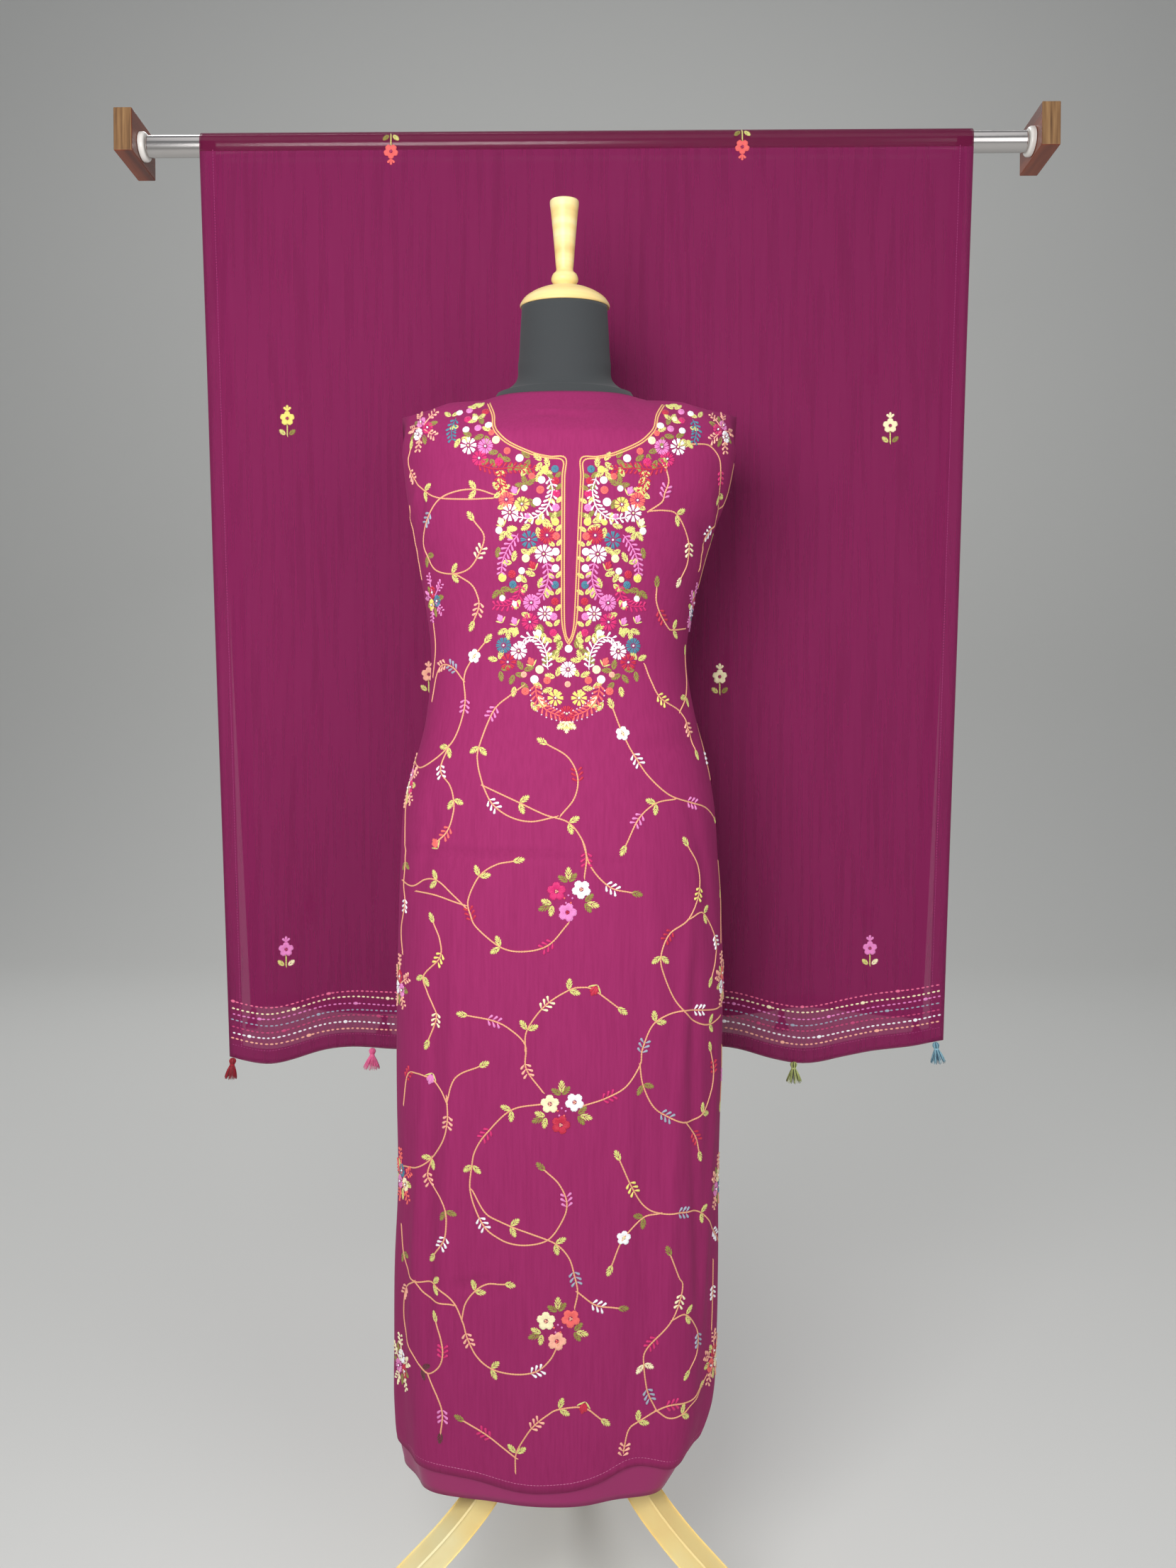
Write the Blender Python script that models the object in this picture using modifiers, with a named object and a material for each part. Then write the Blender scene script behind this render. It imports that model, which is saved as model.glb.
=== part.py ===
"""Salwar kameez set: kameez lengths on a dress form, dupatta on a rod behind it. Metres, +Z up, front to -Y."""
import math

import bmesh
import bpy
import numpy as np
from mathutils import Matrix, Vector

# Cloth
WALL = 0.0012
SEAM_GAP = 0.0010
FORM_CLEARANCE = 0.0010
BAND_SEWN_GAP = 0.0004
BAND_LOOSE_GAP = 0.0016
DUPATTA_WALL = 0.0010
DUPATTA_HEM_WALL = 0.0018

# Dress form
FORM_X = -0.020
FORM_BOTTOM_Z = 0.790
FORM_BASE_Z = 0.760
BASE_SHRINK = 0.92
NECK_HALF_WIDTH = 0.082
NECK_HALF_DEPTH = 0.063
NECK_EDGE_CENTRE_Z = 1.3547
NECK_EDGE_SIDE_Z = 1.361
SHOULDER_TIP_Z = 1.346
SHOULDER_FOOT_Z = 1.300
SHOULDER_SPREAD = 1.012
SHOULDER_FULLNESS = 0.65
POLE_RADIUS = 0.014
HUB_RADIUS = 0.034
HUB_EDGE = 0.004
HUB_BOTTOM_Z = 0.232
HUB_TOP_Z = 0.305
LEG_WIDTH = 0.026
LEG_SPREAD_DEG = 60.0
JOIN_GAP = 0.0004

# Rod and its fixings
ROD_BEHIND_FORM = 0.167
ROD_Z = 1.731
ROD_RADIUS = 0.0125
FLANGE_RADIUS = 0.017
FLANGE_RIM_RADIUS = 0.0145
FLANGE_THICKNESS = 0.0065
BLOCK_INNER_X = 0.550
BLOCK_THICKNESS = 0.0225
BLOCK_DEPTH = 0.075
BLOCK_HEIGHT = 0.052
BLOCK_BEHIND_ROD = 0.0055
BLOCK_Z = 1.7365
BLOCK_EDGE = 0.0008

# Dupatta
FALL_RADIUS = 0.0147
FALL_TOP_HALF = 0.474
FALL_BOTTOM_HALF = 0.443
BACK_FALL_NARROWER = 0.018
FALL_SEAM = 0.0005
BACK_HEM_Z = 0.652
BACK_HEM_WAVE = 0.5
MIDDLE_HEM_Z = 0.605

# Tassels
TASSEL_LENGTH = 0.0265
TASSEL_HANG = 0.0005
STRAND_INSET = 0.0003
STRAND_SHORTER = 0.06
STRAND_LENGTHS = 3

# Columns across each half of the kameez and those of them that end at the neck, on each side of the middle
SIDE_COLUMNS = 12
NECK_COLUMNS = 6
ROUNDED_FROM_COLUMN = 3
ROUNDED_OVER_COLUMNS = 5
NECK_RISE_POWER = 0.9
SQUARENESS = 2.35

# Kameez: half widths and half depths from the form's axis
SECTIONS = (
    # z, left, right, front, back
    (0.203, 0.181, 0.130, 0.106, 0.104),
    (0.232, 0.187, 0.150, 0.108, 0.106),
    (0.261, 0.189, 0.161, 0.110, 0.107),
    (0.332, 0.189, 0.167, 0.111, 0.108),
    (0.420, 0.188, 0.169, 0.112, 0.108),
    (0.508, 0.184, 0.169, 0.112, 0.108),
    (0.596, 0.185, 0.171, 0.112, 0.109),
    (0.683, 0.185, 0.173, 0.114, 0.111),
    (0.770, 0.183, 0.173, 0.116, 0.114),
    (0.857, 0.180, 0.168, 0.116, 0.116),
    (0.926, 0.175, 0.163, 0.112, 0.114),
    (0.961, 0.166, 0.157, 0.108, 0.109),
    (1.004, 0.154, 0.146, 0.102, 0.103),
    (1.047, 0.148, 0.137, 0.098, 0.098),
    (1.082, 0.146, 0.133, 0.098, 0.096),
    (1.125, 0.150, 0.138, 0.104, 0.098),
    (1.168, 0.157, 0.148, 0.114, 0.102),
    (1.219, 0.166, 0.163, 0.120, 0.106),
    (1.250, 0.171, 0.175, 0.118, 0.108),
    (1.300, 0.177, 0.186, 0.110, 0.107),
)

# Heights of the rings above the hem, then shares of the way from the last ring to the shoulder line
RING_Z = (0.262, 0.300, 0.352, 0.420, 0.500, 0.590, 0.680, 0.745, 0.800, 0.857, 0.905,
          0.945, 0.980, 1.015, 1.050, 1.085, 1.122, 1.160, 1.198, 1.232, 1.266, 1.300)
SHOULDER_SHARES = (0.22, 0.45, 0.68, 0.88, 1.0)
BAND_SHARES = (0.0, 0.33, 0.66, 1.0)
BAND_TOP_Z = 0.300

# Outer hem, by angle from the middle of the front towards the right
OUTER_HEM = (
    # degrees, z
    (-180.0, 0.241),
    (-135.0, 0.238),
    (-90.0, 0.228),
    (-30.0, 0.227),
    (-5.0, 0.2205),
    (12.0, 0.230),
    (25.0, 0.242),
    (45.0, 0.231),
    (70.0, 0.235),
    (90.0, 0.236),
    (135.0, 0.234),
    (180.0, 0.241),
)

# Lower edge of the under-cloth, by the same angle
UNDER_HEM = (
    # degrees, z
    (-180.0, 0.216),
    (-140.0, 0.209),
    (-90.0, 0.201),
    (-40.0, 0.202),
    (0.0, 0.2045),
    (50.0, 0.205),
    (90.0, 0.208),
    (140.0, 0.210),
    (180.0, 0.216),
)

# Upright folds of the skirt, growing from their start down to the hem; outward is positive
FOLD_FULL_Z = 0.24
SKIRT_FOLDS = (
    # degrees, depth, half width in degrees, start z
    (-66.0, -0.0050, 15.0, 0.56),
    (-46.0, 0.0040, 14.0, 0.62),
    (-24.0, -0.0030, 14.0, 0.50),
    (-2.0, 0.0030, 16.0, 0.46),
    (22.0, -0.0040, 15.0, 0.60),
    (44.0, 0.0045, 14.0, 0.66),
    (66.0, -0.0045, 14.0, 0.70),
    (112.0, 0.0050, 16.0, 0.66),
    (135.0, -0.0050, 15.0, 0.60),
    (160.0, 0.0045, 16.0, 0.68),
    (-172.0, -0.0045, 16.0, 0.60),
    (-146.0, 0.0050, 16.0, 0.66),
    (-118.0, -0.0045, 15.0, 0.60),
)

# How far the back length starts behind the side, which leaves the armholes open
ARMHOLE = (
    # z, degrees
    (1.105, 0.0),
    (1.160, 11.0),
    (1.250, 17.0),
    (1.310, 14.0),
    (1.346, 0.0),
)

# Neck of the form above the shoulders; each ring leans forward by its slope
NECK_TOP_Z = 1.4640
NECK_TILT_DEG = 9.0
NECK_SLOPE = math.tan(math.radians(NECK_TILT_DEG))
NECK_RINGS = (
    # half width, half depth, z, slope
    (0.0755, 0.0595, 1.3685, 0.08),
    (0.0652, 0.0572, 1.3735, 0.15),
    (0.0574, 0.0550, 1.3800, 0.20),
    (0.0527, 0.0520, 1.4020, 0.18),
    (0.0504, 0.0502, 1.4340, 0.17),
    (0.0485, 0.0485, NECK_TOP_Z, NECK_SLOPE),
)

# Lower edge of the dupatta's front fall
FALL_HEM = (
    # x, z
    (-0.443, 0.601),
    (-0.397, 0.593),
    (-0.310, 0.611),
    (-0.240, 0.612),
    (-0.090, 0.603),
    (0.070, 0.608),
    (0.175, 0.614),
    (0.275, 0.595),
    (0.345, 0.607),
    (0.443, 0.624),
)

# Soft upright folds of the dupatta, by share of the half width; towards the front is positive
FALL_FOLDS = (
    # share, depth, half width in shares
    (-0.92, 0.0050, 0.16),
    (-0.70, -0.0040, 0.17),
    (-0.48, 0.0055, 0.18),
    (-0.24, -0.0040, 0.17),
    (0.02, 0.0045, 0.20),
    (0.30, -0.0035, 0.18),
    (0.54, 0.0060, 0.18),
    (0.76, -0.0045, 0.16),
    (0.93, 0.0045, 0.14),
)
HEM_SHARE = 0.962
FALL_COLUMNS = 17
ARC_STEPS = 6
FALL_SHARES = (0.04, 0.12, 0.21, 0.31, 0.41, 0.51, 0.61, 0.71, 0.80, 0.88, 0.945, 0.984, 1.0)
HEM_ROWS = 2

# Tassels along the dupatta's two short hems
TASSELS = (
    # x, lean in degrees, spread at the tips, thread at the front, thread at the back
    (-0.4385, -7.0, 0.0030, "crimson", "pink"),
    (-0.2650, -3.0, 0.0055, "pink", "green"),
    (-0.0900, 2.0, 0.0040, "cream", "crimson"),
    (0.0850, -2.0, 0.0040, "crimson", "teal"),
    (0.2580, 1.0, 0.0050, "green", "pink"),
    (0.4330, 8.0, 0.0045, "teal", "crimson"),
)

# Head of a tassel, from its top down
TASSEL_HEAD = (
    # radius, z
    (0.0010, 0.0000),
    (0.0032, -0.0016),
    (0.0042, -0.0042),
    (0.0034, -0.0070),
    (0.0021, -0.0088),
    (0.0036, -0.0105),
)
TASSEL_SEGMENTS = 8
TASSEL_CORE = 0.0012

# Leg in its own upright plane: distance from the form's axis and height of its two edges
LEG_EDGES = (
    # upper distance, upper z, lower distance, lower z
    (0.0345, 0.2900, 0.0345, 0.2500),
    (0.0703, 0.2447, 0.0497, 0.2273),
    (0.0933, 0.2137, 0.0727, 0.1963),
    (0.1162, 0.1854, 0.0968, 0.1666),
    (0.1483, 0.1581, 0.1317, 0.1369),
    (0.1845, 0.1337, 0.1695, 0.1113),
    (0.2224, 0.1093, 0.2076, 0.0867),
    (0.2622, 0.0839, 0.2478, 0.0611),
    (0.3020, 0.0596, 0.2880, 0.0364),
    (0.3345, 0.0403, 0.3215, 0.0167),
    (0.3560, 0.0300, 0.3450, 0.0000),
    (0.3700, 0.0200, 0.3720, 0.0000),
)

# Turned wood above the neck
CAP_PROFILE = (
    # radius, z
    (0.0486, 1.4645),
    (0.0492, 1.4662),
    (0.0480, 1.4690),
    (0.0436, 1.4745),
    (0.0340, 1.4805),
    (0.0220, 1.4850),
    (0.0110, 1.4866),
)
FINIAL_PROFILE = (
    # radius, z
    (0.0090, 1.4870),
    (0.0138, 1.4910),
    (0.0146, 1.4950),
    (0.0128, 1.4995),
    (0.0094, 1.5030),
    (0.0100, 1.5120),
    (0.0120, 1.5360),
    (0.0146, 1.5625),
    (0.0156, 1.5705),
    (0.0146, 1.5743),
    (0.0080, 1.5755),
)
CAP_SEGMENTS = 32
FINIAL_SEGMENTS = 20
ROD_SEGMENTS = 24
POLE_SEGMENTS = 16

MATERIALS = (
    # name, colour, metallic, roughness
    ("kameez_georgette", (0.300, 0.025, 0.125), 0.0, 0.75),
    ("under_satin", (0.340, 0.045, 0.165), 0.0, 0.45),
    ("dupatta_georgette", (0.200, 0.018, 0.085), 0.0, 0.80),
    ("form_jersey", (0.040, 0.045, 0.047), 0.0, 0.90),
    ("pale_wood", (0.760, 0.560, 0.290), 0.0, 0.45),
    ("brown_wood", (0.200, 0.080, 0.040), 0.0, 0.50),
    ("chrome_rod", (0.800, 0.800, 0.800), 1.0, 0.10),
    ("white_flange", (0.800, 0.780, 0.720), 0.0, 0.35),
    ("crimson_thread", (0.420, 0.010, 0.020), 0.0, 0.70),
    ("pink_thread", (0.850, 0.140, 0.320), 0.0, 0.70),
    ("cream_thread", (0.800, 0.700, 0.450), 0.0, 0.70),
    ("green_thread", (0.330, 0.420, 0.120), 0.0, 0.70),
    ("teal_thread", (0.120, 0.300, 0.360), 0.0, 0.70),
)

LEG_REACH = LEG_EDGES[-1][2]
LEG_FRONT_REACH = LEG_REACH * math.cos(math.radians(LEG_SPREAD_DEG))
LEG_FRONT_CORNER = 0.5 * LEG_WIDTH * math.sin(math.radians(LEG_SPREAD_DEG))
FORM_Y = -0.5 * (LEG_REACH - LEG_FRONT_REACH - LEG_FRONT_CORNER)
FORM_PLACE = Vector((FORM_X, FORM_Y, 0.0))
ROD_Y = FORM_Y + ROD_BEHIND_FORM


def smooth_value(table, at, column):
    """A column's value at a place in the table's first column, on a smooth curve through its rows."""
    places = np.array([row[0] for row in table])
    values = np.array([row[column] for row in table])
    slopes = np.gradient(values, places)
    at = min(max(at, places[0]), places[-1])
    i = min(int(np.searchsorted(places, at, side="right")) - 1, len(places) - 2)
    step = places[i + 1] - places[i]
    s = (at - places[i]) / step
    start = values[i] * (1 + 2 * s) * (1 - s) ** 2 + slopes[i] * step * s * (1 - s) ** 2
    end = values[i + 1] * s * s * (3 - 2 * s) - slopes[i + 1] * step * s * s * (1 - s)
    return float(start + end)


def front_angle(side, degrees):
    """Angle from the middle of the front, for an angle measured from the middle of one side's length."""
    return degrees if side < 0 else math.copysign(180.0, degrees) - degrees


def skirt_fold(degrees, z):
    """How far the skirt's folds move the cloth outwards at an angle from the front and a height."""
    total = 0.0
    for centre, depth, half_width, start_z in SKIRT_FOLDS:
        away = (degrees - centre + 180.0) % 360.0 - 180.0
        if abs(away) < half_width and z < start_z:
            grown = min(1.0, (start_z - z) / (start_z - FOLD_FULL_Z))
            total += depth * grown * math.cos(0.5 * math.pi * away / half_width) ** 2
    return total


def ring_point(side, degrees, z):
    """A point of the kameez ring at height z; side is -1 in front, 1 behind, degrees from its middle."""
    angle = math.radians(degrees)
    width = smooth_value(SECTIONS, z, 1 if degrees < 0 else 2)
    depth = smooth_value(SECTIONS, z, 3 if side < 0 else 4)
    power = 2.0 / SQUARENESS
    x = math.copysign(width * abs(math.sin(angle)) ** power, degrees)
    y = side * depth * abs(math.cos(angle)) ** power
    out = 1.0 + skirt_fold(front_angle(side, degrees), z) / math.hypot(x, y)
    return Vector((x * out, y * out, z))


def column_degrees(side, column, z):
    """Angle of a column; the back length's outer columns start behind the armhole."""
    gap = smooth_value(ARMHOLE, z, 1) if side > 0 else 0.0
    return (90.0 - gap) * column / SIDE_COLUMNS


def shoulder_edge(side, column):
    """Where a column ends at the top: round the neck near the middle, on the shoulder line beyond."""
    if abs(column) <= NECK_COLUMNS:
        turn = 0.5 * math.pi * column / NECK_COLUMNS
        rise = (NECK_EDGE_CENTRE_Z - NECK_EDGE_SIDE_Z) * math.cos(turn) ** 2
        x = NECK_HALF_WIDTH * math.sin(turn)
        y = side * NECK_HALF_DEPTH * math.cos(turn)
        return Vector((x, y, NECK_EDGE_SIDE_Z + rise))
    share = (abs(column) - NECK_COLUMNS) / (SIDE_COLUMNS - NECK_COLUMNS)
    tip = SHOULDER_SPREAD * smooth_value(SECTIONS, SHOULDER_FOOT_Z, 1 if column < 0 else 2)
    x = NECK_HALF_WIDTH + share * (tip - NECK_HALF_WIDTH)
    z = NECK_EDGE_SIDE_Z + share * (SHOULDER_TIP_Z - NECK_EDGE_SIDE_Z)
    return Vector((math.copysign(x, column), 0.0, z))


def shoulder_point(side, column, share):
    """A point from the last ring (share 0) to the shoulder line (share 1), rounded over the shoulders."""
    low = ring_point(side, column_degrees(side, column, SHOULDER_FOOT_Z), SHOULDER_FOOT_Z)
    high = shoulder_edge(side, column)
    turn = 0.5 * math.pi * share
    rounded = min(1.0, max(0.0, (abs(column) - ROUNDED_FROM_COLUMN) / ROUNDED_OVER_COLUMNS))
    inwards = (1 - rounded) * share + rounded * (1 - abs(math.cos(turn)) ** SHOULDER_FULLNESS)
    upwards = (1 - rounded) * share ** NECK_RISE_POWER + rounded * math.sin(turn)
    across = share * share * (3 - 2 * share)
    z = low.z + (high.z - low.z) * upwards
    if abs(column) == SIDE_COLUMNS:
        low = ring_point(side, column_degrees(side, column, z), SHOULDER_FOOT_Z)
    return Vector((low.x + (high.x - low.x) * across, low.y + (high.y - low.y) * inwards, z))


def kept_off_seam(side, row):
    """The row with every point at least half a seam's gap to its own side."""
    for point in row:
        point.y = side * max(side * point.y, 0.5 * SEAM_GAP)
    return row


def kameez_rows(side):
    """Rows of outer points of one length above its hem, from the form's axis."""
    columns = range(-SIDE_COLUMNS, SIDE_COLUMNS + 1)
    rows = [[ring_point(side, column_degrees(side, c, z), z) for c in columns] for z in RING_Z]
    rows += [[shoulder_point(side, c, share) for c in columns] for share in SHOULDER_SHARES]
    return [kept_off_seam(side, row) for row in rows]


def hem_row(side):
    """The outer hem of one length."""
    row = []
    for column in range(-SIDE_COLUMNS, SIDE_COLUMNS + 1):
        degrees = column_degrees(side, column, RING_Z[0])
        row.append(ring_point(side, degrees, smooth_value(OUTER_HEM, front_angle(side, degrees), 1)))
    return kept_off_seam(side, row)


def under_rows(side):
    """Rows of outer points of the under-cloth's band, inside the kameez and nearest to it at the top."""
    rows = []
    for share in BAND_SHARES:
        row = []
        for column in range(-SIDE_COLUMNS, SIDE_COLUMNS + 1):
            degrees = 90.0 * column / SIDE_COLUMNS
            low = smooth_value(UNDER_HEM, front_angle(side, degrees), 1)
            row.append(ring_point(side, degrees, low + share * (BAND_TOP_Z - low)))
        rows.append(row)
    normals = outward_normals(rows, side)
    for r, row in enumerate(rows):
        shift = WALL + (BAND_SEWN_GAP if r == len(rows) - 1 else BAND_LOOSE_GAP)
        for c, point in enumerate(row):
            point -= Vector((normals[r, c, 0], normals[r, c, 1], 0.0)) * shift
        kept_off_seam(side, row)
    return rows


def placed(rows):
    """Rows of points moved from the form's axis to its place in the set."""
    return [[point + FORM_PLACE for point in row] for row in rows]


def outward_normals(rows, side):
    """Unit normals of a grid's points, from their neighbours along and across it."""
    points = np.array([[tuple(point) for point in row] for row in rows])
    normals = -side * np.cross(np.gradient(points, axis=1), np.gradient(points, axis=0))
    return normals / np.linalg.norm(normals, axis=2, keepdims=True)


def grid_faces(row_count, column_count, side):
    """Quads of a grid whose rows go up and columns right, facing the front or the back."""
    faces = []
    for r in range(row_count - 1):
        for c in range(column_count - 1):
            a = r * column_count + c
            quad = (a, a + 1, a + 1 + column_count, a + column_count)
            faces.append(quad if side < 0 else quad[::-1])
    return faces


def new_object(name, points, faces, material, edges=()):
    """One piece of the set from points and faces."""
    mesh = bpy.data.meshes.new(name)
    mesh.from_pydata([tuple(point) for point in points], edges, faces)
    mesh.materials.append(bpy.data.materials[material])
    obj = bpy.data.objects.new(name, mesh)
    collection.objects.link(obj)
    return obj


def cloth_wall(name, rows, side, material, thickness):
    """A cloth wall: the rows are its outer face, and Solidify adds the thickness inwards."""
    points = [point for row in rows for point in row]
    obj = new_object(name, points, grid_faces(len(rows), len(rows[0]), side), material)
    solidify = obj.modifiers.new("wall", "SOLIDIFY")
    solidify.thickness = thickness
    solidify.offset = -1.0
    solidify.use_even_offset = True
    return obj


def turned_solid(name, profile, segments, material, place, axis=(0.0, 0.0, 1.0)):
    """A turned solid: a profile of radius and height, closed on its axis and spun by Screw."""
    points = [(0.0, 0.0, profile[0][1])]
    points += [(radius, 0.0, z) for radius, z in profile]
    points.append((0.0, 0.0, profile[-1][1]))
    obj = new_object(name, points, [], material, [(i, i + 1) for i in range(len(points) - 1)])
    obj.rotation_mode = "QUATERNION"
    obj.rotation_quaternion = Vector((0.0, 0.0, 1.0)).rotation_difference(Vector(axis))
    obj.location = place
    screw = obj.modifiers.new("turn", "SCREW")
    screw.axis = "Z"
    screw.steps = segments
    screw.render_steps = segments
    screw.use_merge_vertices = True
    screw.merge_threshold = 0.00005
    screw.use_normal_flip = True
    return obj


def bridge(low, high):
    """Quads between two closed loops of the same length, the second above the first."""
    count = len(low)
    return [(low[i], low[(i + 1) % count], high[(i + 1) % count], high[i]) for i in range(count)]


def form_loops():
    """Points and loops of the torso under the kameez, joined along the sides and the shoulder line."""
    points, loops = [], []
    sides = {}
    first = next(i for i, z in enumerate(RING_Z) if z >= FORM_BOTTOM_Z)
    inset = WALL + FORM_CLEARANCE
    for side in (-1, 1):
        rows = kameez_rows(side)
        normals = outward_normals(rows, side)
        for r, row in enumerate(rows):
            for c, point in enumerate(row):
                if c in (0, 2 * SIDE_COLUMNS) and r >= len(RING_Z):
                    sunk = inset * SHOULDER_SHARES[r - len(RING_Z)]
                    point -= Vector((math.copysign(inset, point.x), 0.0, sunk))
                else:
                    point -= Vector(normals[r, c]) * inset
        sides[side] = rows[first:]
    last = len(sides[-1]) - 1
    for r, (front, back) in enumerate(zip(sides[-1], sides[1])):
        loop = []
        for c, point in enumerate(front):
            on_line = r == last and abs(c - SIDE_COLUMNS) >= NECK_COLUMNS
            if on_line or c in (0, 2 * SIDE_COLUMNS):
                point.y = 0.0
            loop.append(len(points))
            points.append(point)
        for c in range(2 * SIDE_COLUMNS - 1, 0, -1):
            if r == last and abs(c - SIDE_COLUMNS) >= NECK_COLUMNS:
                loop.append(loop[c])
            else:
                loop.append(len(points))
                points.append(back[c])
        loops.append(loop)
    return points, loops


def make_form_body():
    """The limbless torso with its neck, one closed solid."""
    points, loops = form_loops()
    faces = []
    for low, high in zip(loops, loops[1:]):
        faces += [tuple(dict.fromkeys(face)) for face in bridge(low, high)]
    start = SIDE_COLUMNS - NECK_COLUMNS
    front_neck = loops[-1][start:start + 2 * NECK_COLUMNS + 1]
    back_start = 2 * SIDE_COLUMNS + start + 1
    ring = front_neck + loops[-1][back_start:back_start + 2 * NECK_COLUMNS - 1]
    for half_width, half_depth, z, slope in NECK_RINGS:
        above = []
        for i in range(len(ring)):
            turn = 2.0 * math.pi * i / len(ring) - 0.5 * math.pi
            above.append(len(points))
            y = -half_depth * math.cos(turn)
            points.append(Vector((half_width * math.sin(turn), y, z + slope * y)))
        faces += bridge(ring, above)
        ring = above
    faces.append(tuple(ring))
    base = []
    for index in loops[0]:
        base.append(len(points))
        points.append(Vector((points[index].x * BASE_SHRINK, points[index].y * BASE_SHRINK, FORM_BASE_Z)))
    faces += bridge(base, loops[0])
    faces.append(tuple(reversed(base)))
    new_object("form_body", [point + FORM_PLACE for point in points], faces, "form_jersey")


def make_kameez():
    """Both lengths of the kameez and the band of under-cloth that shows below them."""
    for side, word in ((-1, "front"), (1, "back")):
        rows = placed([hem_row(side)] + kameez_rows(side))
        cloth_wall("kameez_" + word, rows, side, "kameez_georgette", WALL)
        cloth_wall("underlayer_" + word, placed(under_rows(side)), side, "under_satin", WALL)


def fall_fold(share):
    """How far the dupatta's folds move it at a share of its half width."""
    total = 0.0
    for centre, depth, half_width in FALL_FOLDS:
        away = abs(share - centre)
        if away < half_width:
            total += depth * math.cos(0.5 * math.pi * away / half_width) ** 2
    return total


def fall_hem_z(side, x):
    """Height of the lower edge of the front fall, or of the shorter back one."""
    front = smooth_value(FALL_HEM, x, 1)
    return front if side < 0 else BACK_HEM_Z + BACK_HEM_WAVE * (MIDDLE_HEM_Z - front)


def fall_half(side, down):
    """Half the width of a fall, at a share of its drop; the back one draws in more."""
    drawn_in = FALL_TOP_HALF - FALL_BOTTOM_HALF + (BACK_FALL_NARROWER if side > 0 else 0.0)
    return FALL_TOP_HALF - drawn_in * down


def fall_point(side, share, down):
    """A point of a hanging fall, down being the share of its drop below the rod's centre."""
    x = share * fall_half(side, down)
    y = ROD_Y + side * FALL_RADIUS - fall_fold(-side * share) * down
    return Vector((x, y, ROD_Z + (fall_hem_z(side, x) - ROD_Z) * down))


def fall_columns():
    """Shares of the half width where a fall has its columns, one at the inner edge of each side hem."""
    inner = np.linspace(-1.0, 1.0, FALL_COLUMNS)[1:-1]
    return [-1.0, -HEM_SHARE] + [float(v) for v in inner] + [HEM_SHARE, 1.0]


def hem_place(side, x):
    """The point of a fall's lower edge at x, on the straight line between its two nearest columns."""
    points = [fall_point(side, share, 1.0) for share in fall_columns()]
    i = next(n for n in range(1, len(points)) if points[n].x >= x)
    return points[i - 1].lerp(points[i], (x - points[i - 1].x) / (points[i].x - points[i - 1].x))


def make_fall(side, name):
    """One fall of the dupatta, from the top of the rod down, with its turned hems thicker."""
    shares = fall_columns()
    rows = [[fall_point(side, share, down) for share in shares] for down in reversed(FALL_SHARES)]
    for step in range(ARC_STEPS + 1):
        turn = 0.5 * math.pi * step / ARC_STEPS
        y = ROD_Y + side * max(FALL_RADIUS * math.cos(turn), FALL_SEAM)
        z = ROD_Z + FALL_RADIUS * math.sin(turn)
        rows.append([Vector((share * FALL_TOP_HALF, y, z)) for share in shares])
    obj = cloth_wall(name, rows, side, "dupatta_georgette", DUPATTA_HEM_WALL)
    hems = obj.vertex_groups.new(name="hems")
    for r in range(len(rows)):
        for c in range(len(shares)):
            if r < HEM_ROWS or abs(shares[c]) >= HEM_SHARE:
                hems.add([r * len(shares) + c], 1.0, "REPLACE")
    obj.modifiers["wall"].vertex_group = "hems"
    obj.modifiers["wall"].thickness_vertex_group = DUPATTA_WALL / DUPATTA_HEM_WALL


def make_tassel(name, place, lean_degrees, spread, material):
    """A tassel: a turned head whose lower ring of faces is drawn down into strands."""
    bm = bmesh.new()
    rings = []
    for radius, z in TASSEL_HEAD + ((TASSEL_CORE, TASSEL_HEAD[-1][1]),):
        turns = [2.0 * math.pi * i / TASSEL_SEGMENTS for i in range(TASSEL_SEGMENTS)]
        rings.append([bm.verts.new((radius * math.cos(t), radius * math.sin(t), z)) for t in turns])
    strands = []
    for upper, lower in zip(rings, rings[1:]):
        for i in range(TASSEL_SEGMENTS):
            j = (i + 1) % TASSEL_SEGMENTS
            face = bm.faces.new((upper[i], lower[i], lower[j], upper[j]))
            if lower is rings[-1]:
                strands.append(face)
    bm.faces.new(rings[0])
    bm.faces.new(reversed(rings[-1]))
    bmesh.ops.inset_individual(bm, faces=strands, thickness=STRAND_INSET)
    drawn = bmesh.ops.extrude_discrete_faces(bm, faces=strands)["faces"]
    drop = TASSEL_LENGTH + TASSEL_HEAD[-1][1]
    for i, face in enumerate(drawn):
        centre = face.calc_center_median()
        outward = Vector((centre.x, centre.y, 0.0)).normalized()
        shorter = 1.0 - STRAND_SHORTER * (i % STRAND_LENGTHS)
        move = outward * spread + Vector((0.0, 0.0, -drop * shorter))
        bmesh.ops.translate(bm, verts=face.verts, vec=move)
    lean = Matrix.Rotation(math.radians(-lean_degrees), 4, "Y")
    bmesh.ops.transform(bm, matrix=Matrix.Translation(place) @ lean, verts=bm.verts)
    mesh = bpy.data.meshes.new(name)
    bm.to_mesh(mesh)
    bm.free()
    mesh.materials.append(bpy.data.materials[material])
    collection.objects.link(bpy.data.objects.new(name, mesh))


def make_dupatta():
    """The dupatta's two falls with the tassels of their hems."""
    for side, word in ((-1, "front"), (1, "back")):
        make_fall(side, "dupatta_" + word + "_fall")
        for number, (x, lean, spread, front_thread, back_thread) in enumerate(TASSELS, 1):
            thread = front_thread if side < 0 else back_thread
            place = hem_place(side, x * fall_half(side, 1.0) / FALL_BOTTOM_HALF)
            place.y -= side * 0.5 * DUPATTA_HEM_WALL
            place.z -= TASSEL_HANG
            make_tassel("tassel_{}_{}".format(word, number), place, lean, spread, thread + "_thread")


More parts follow.
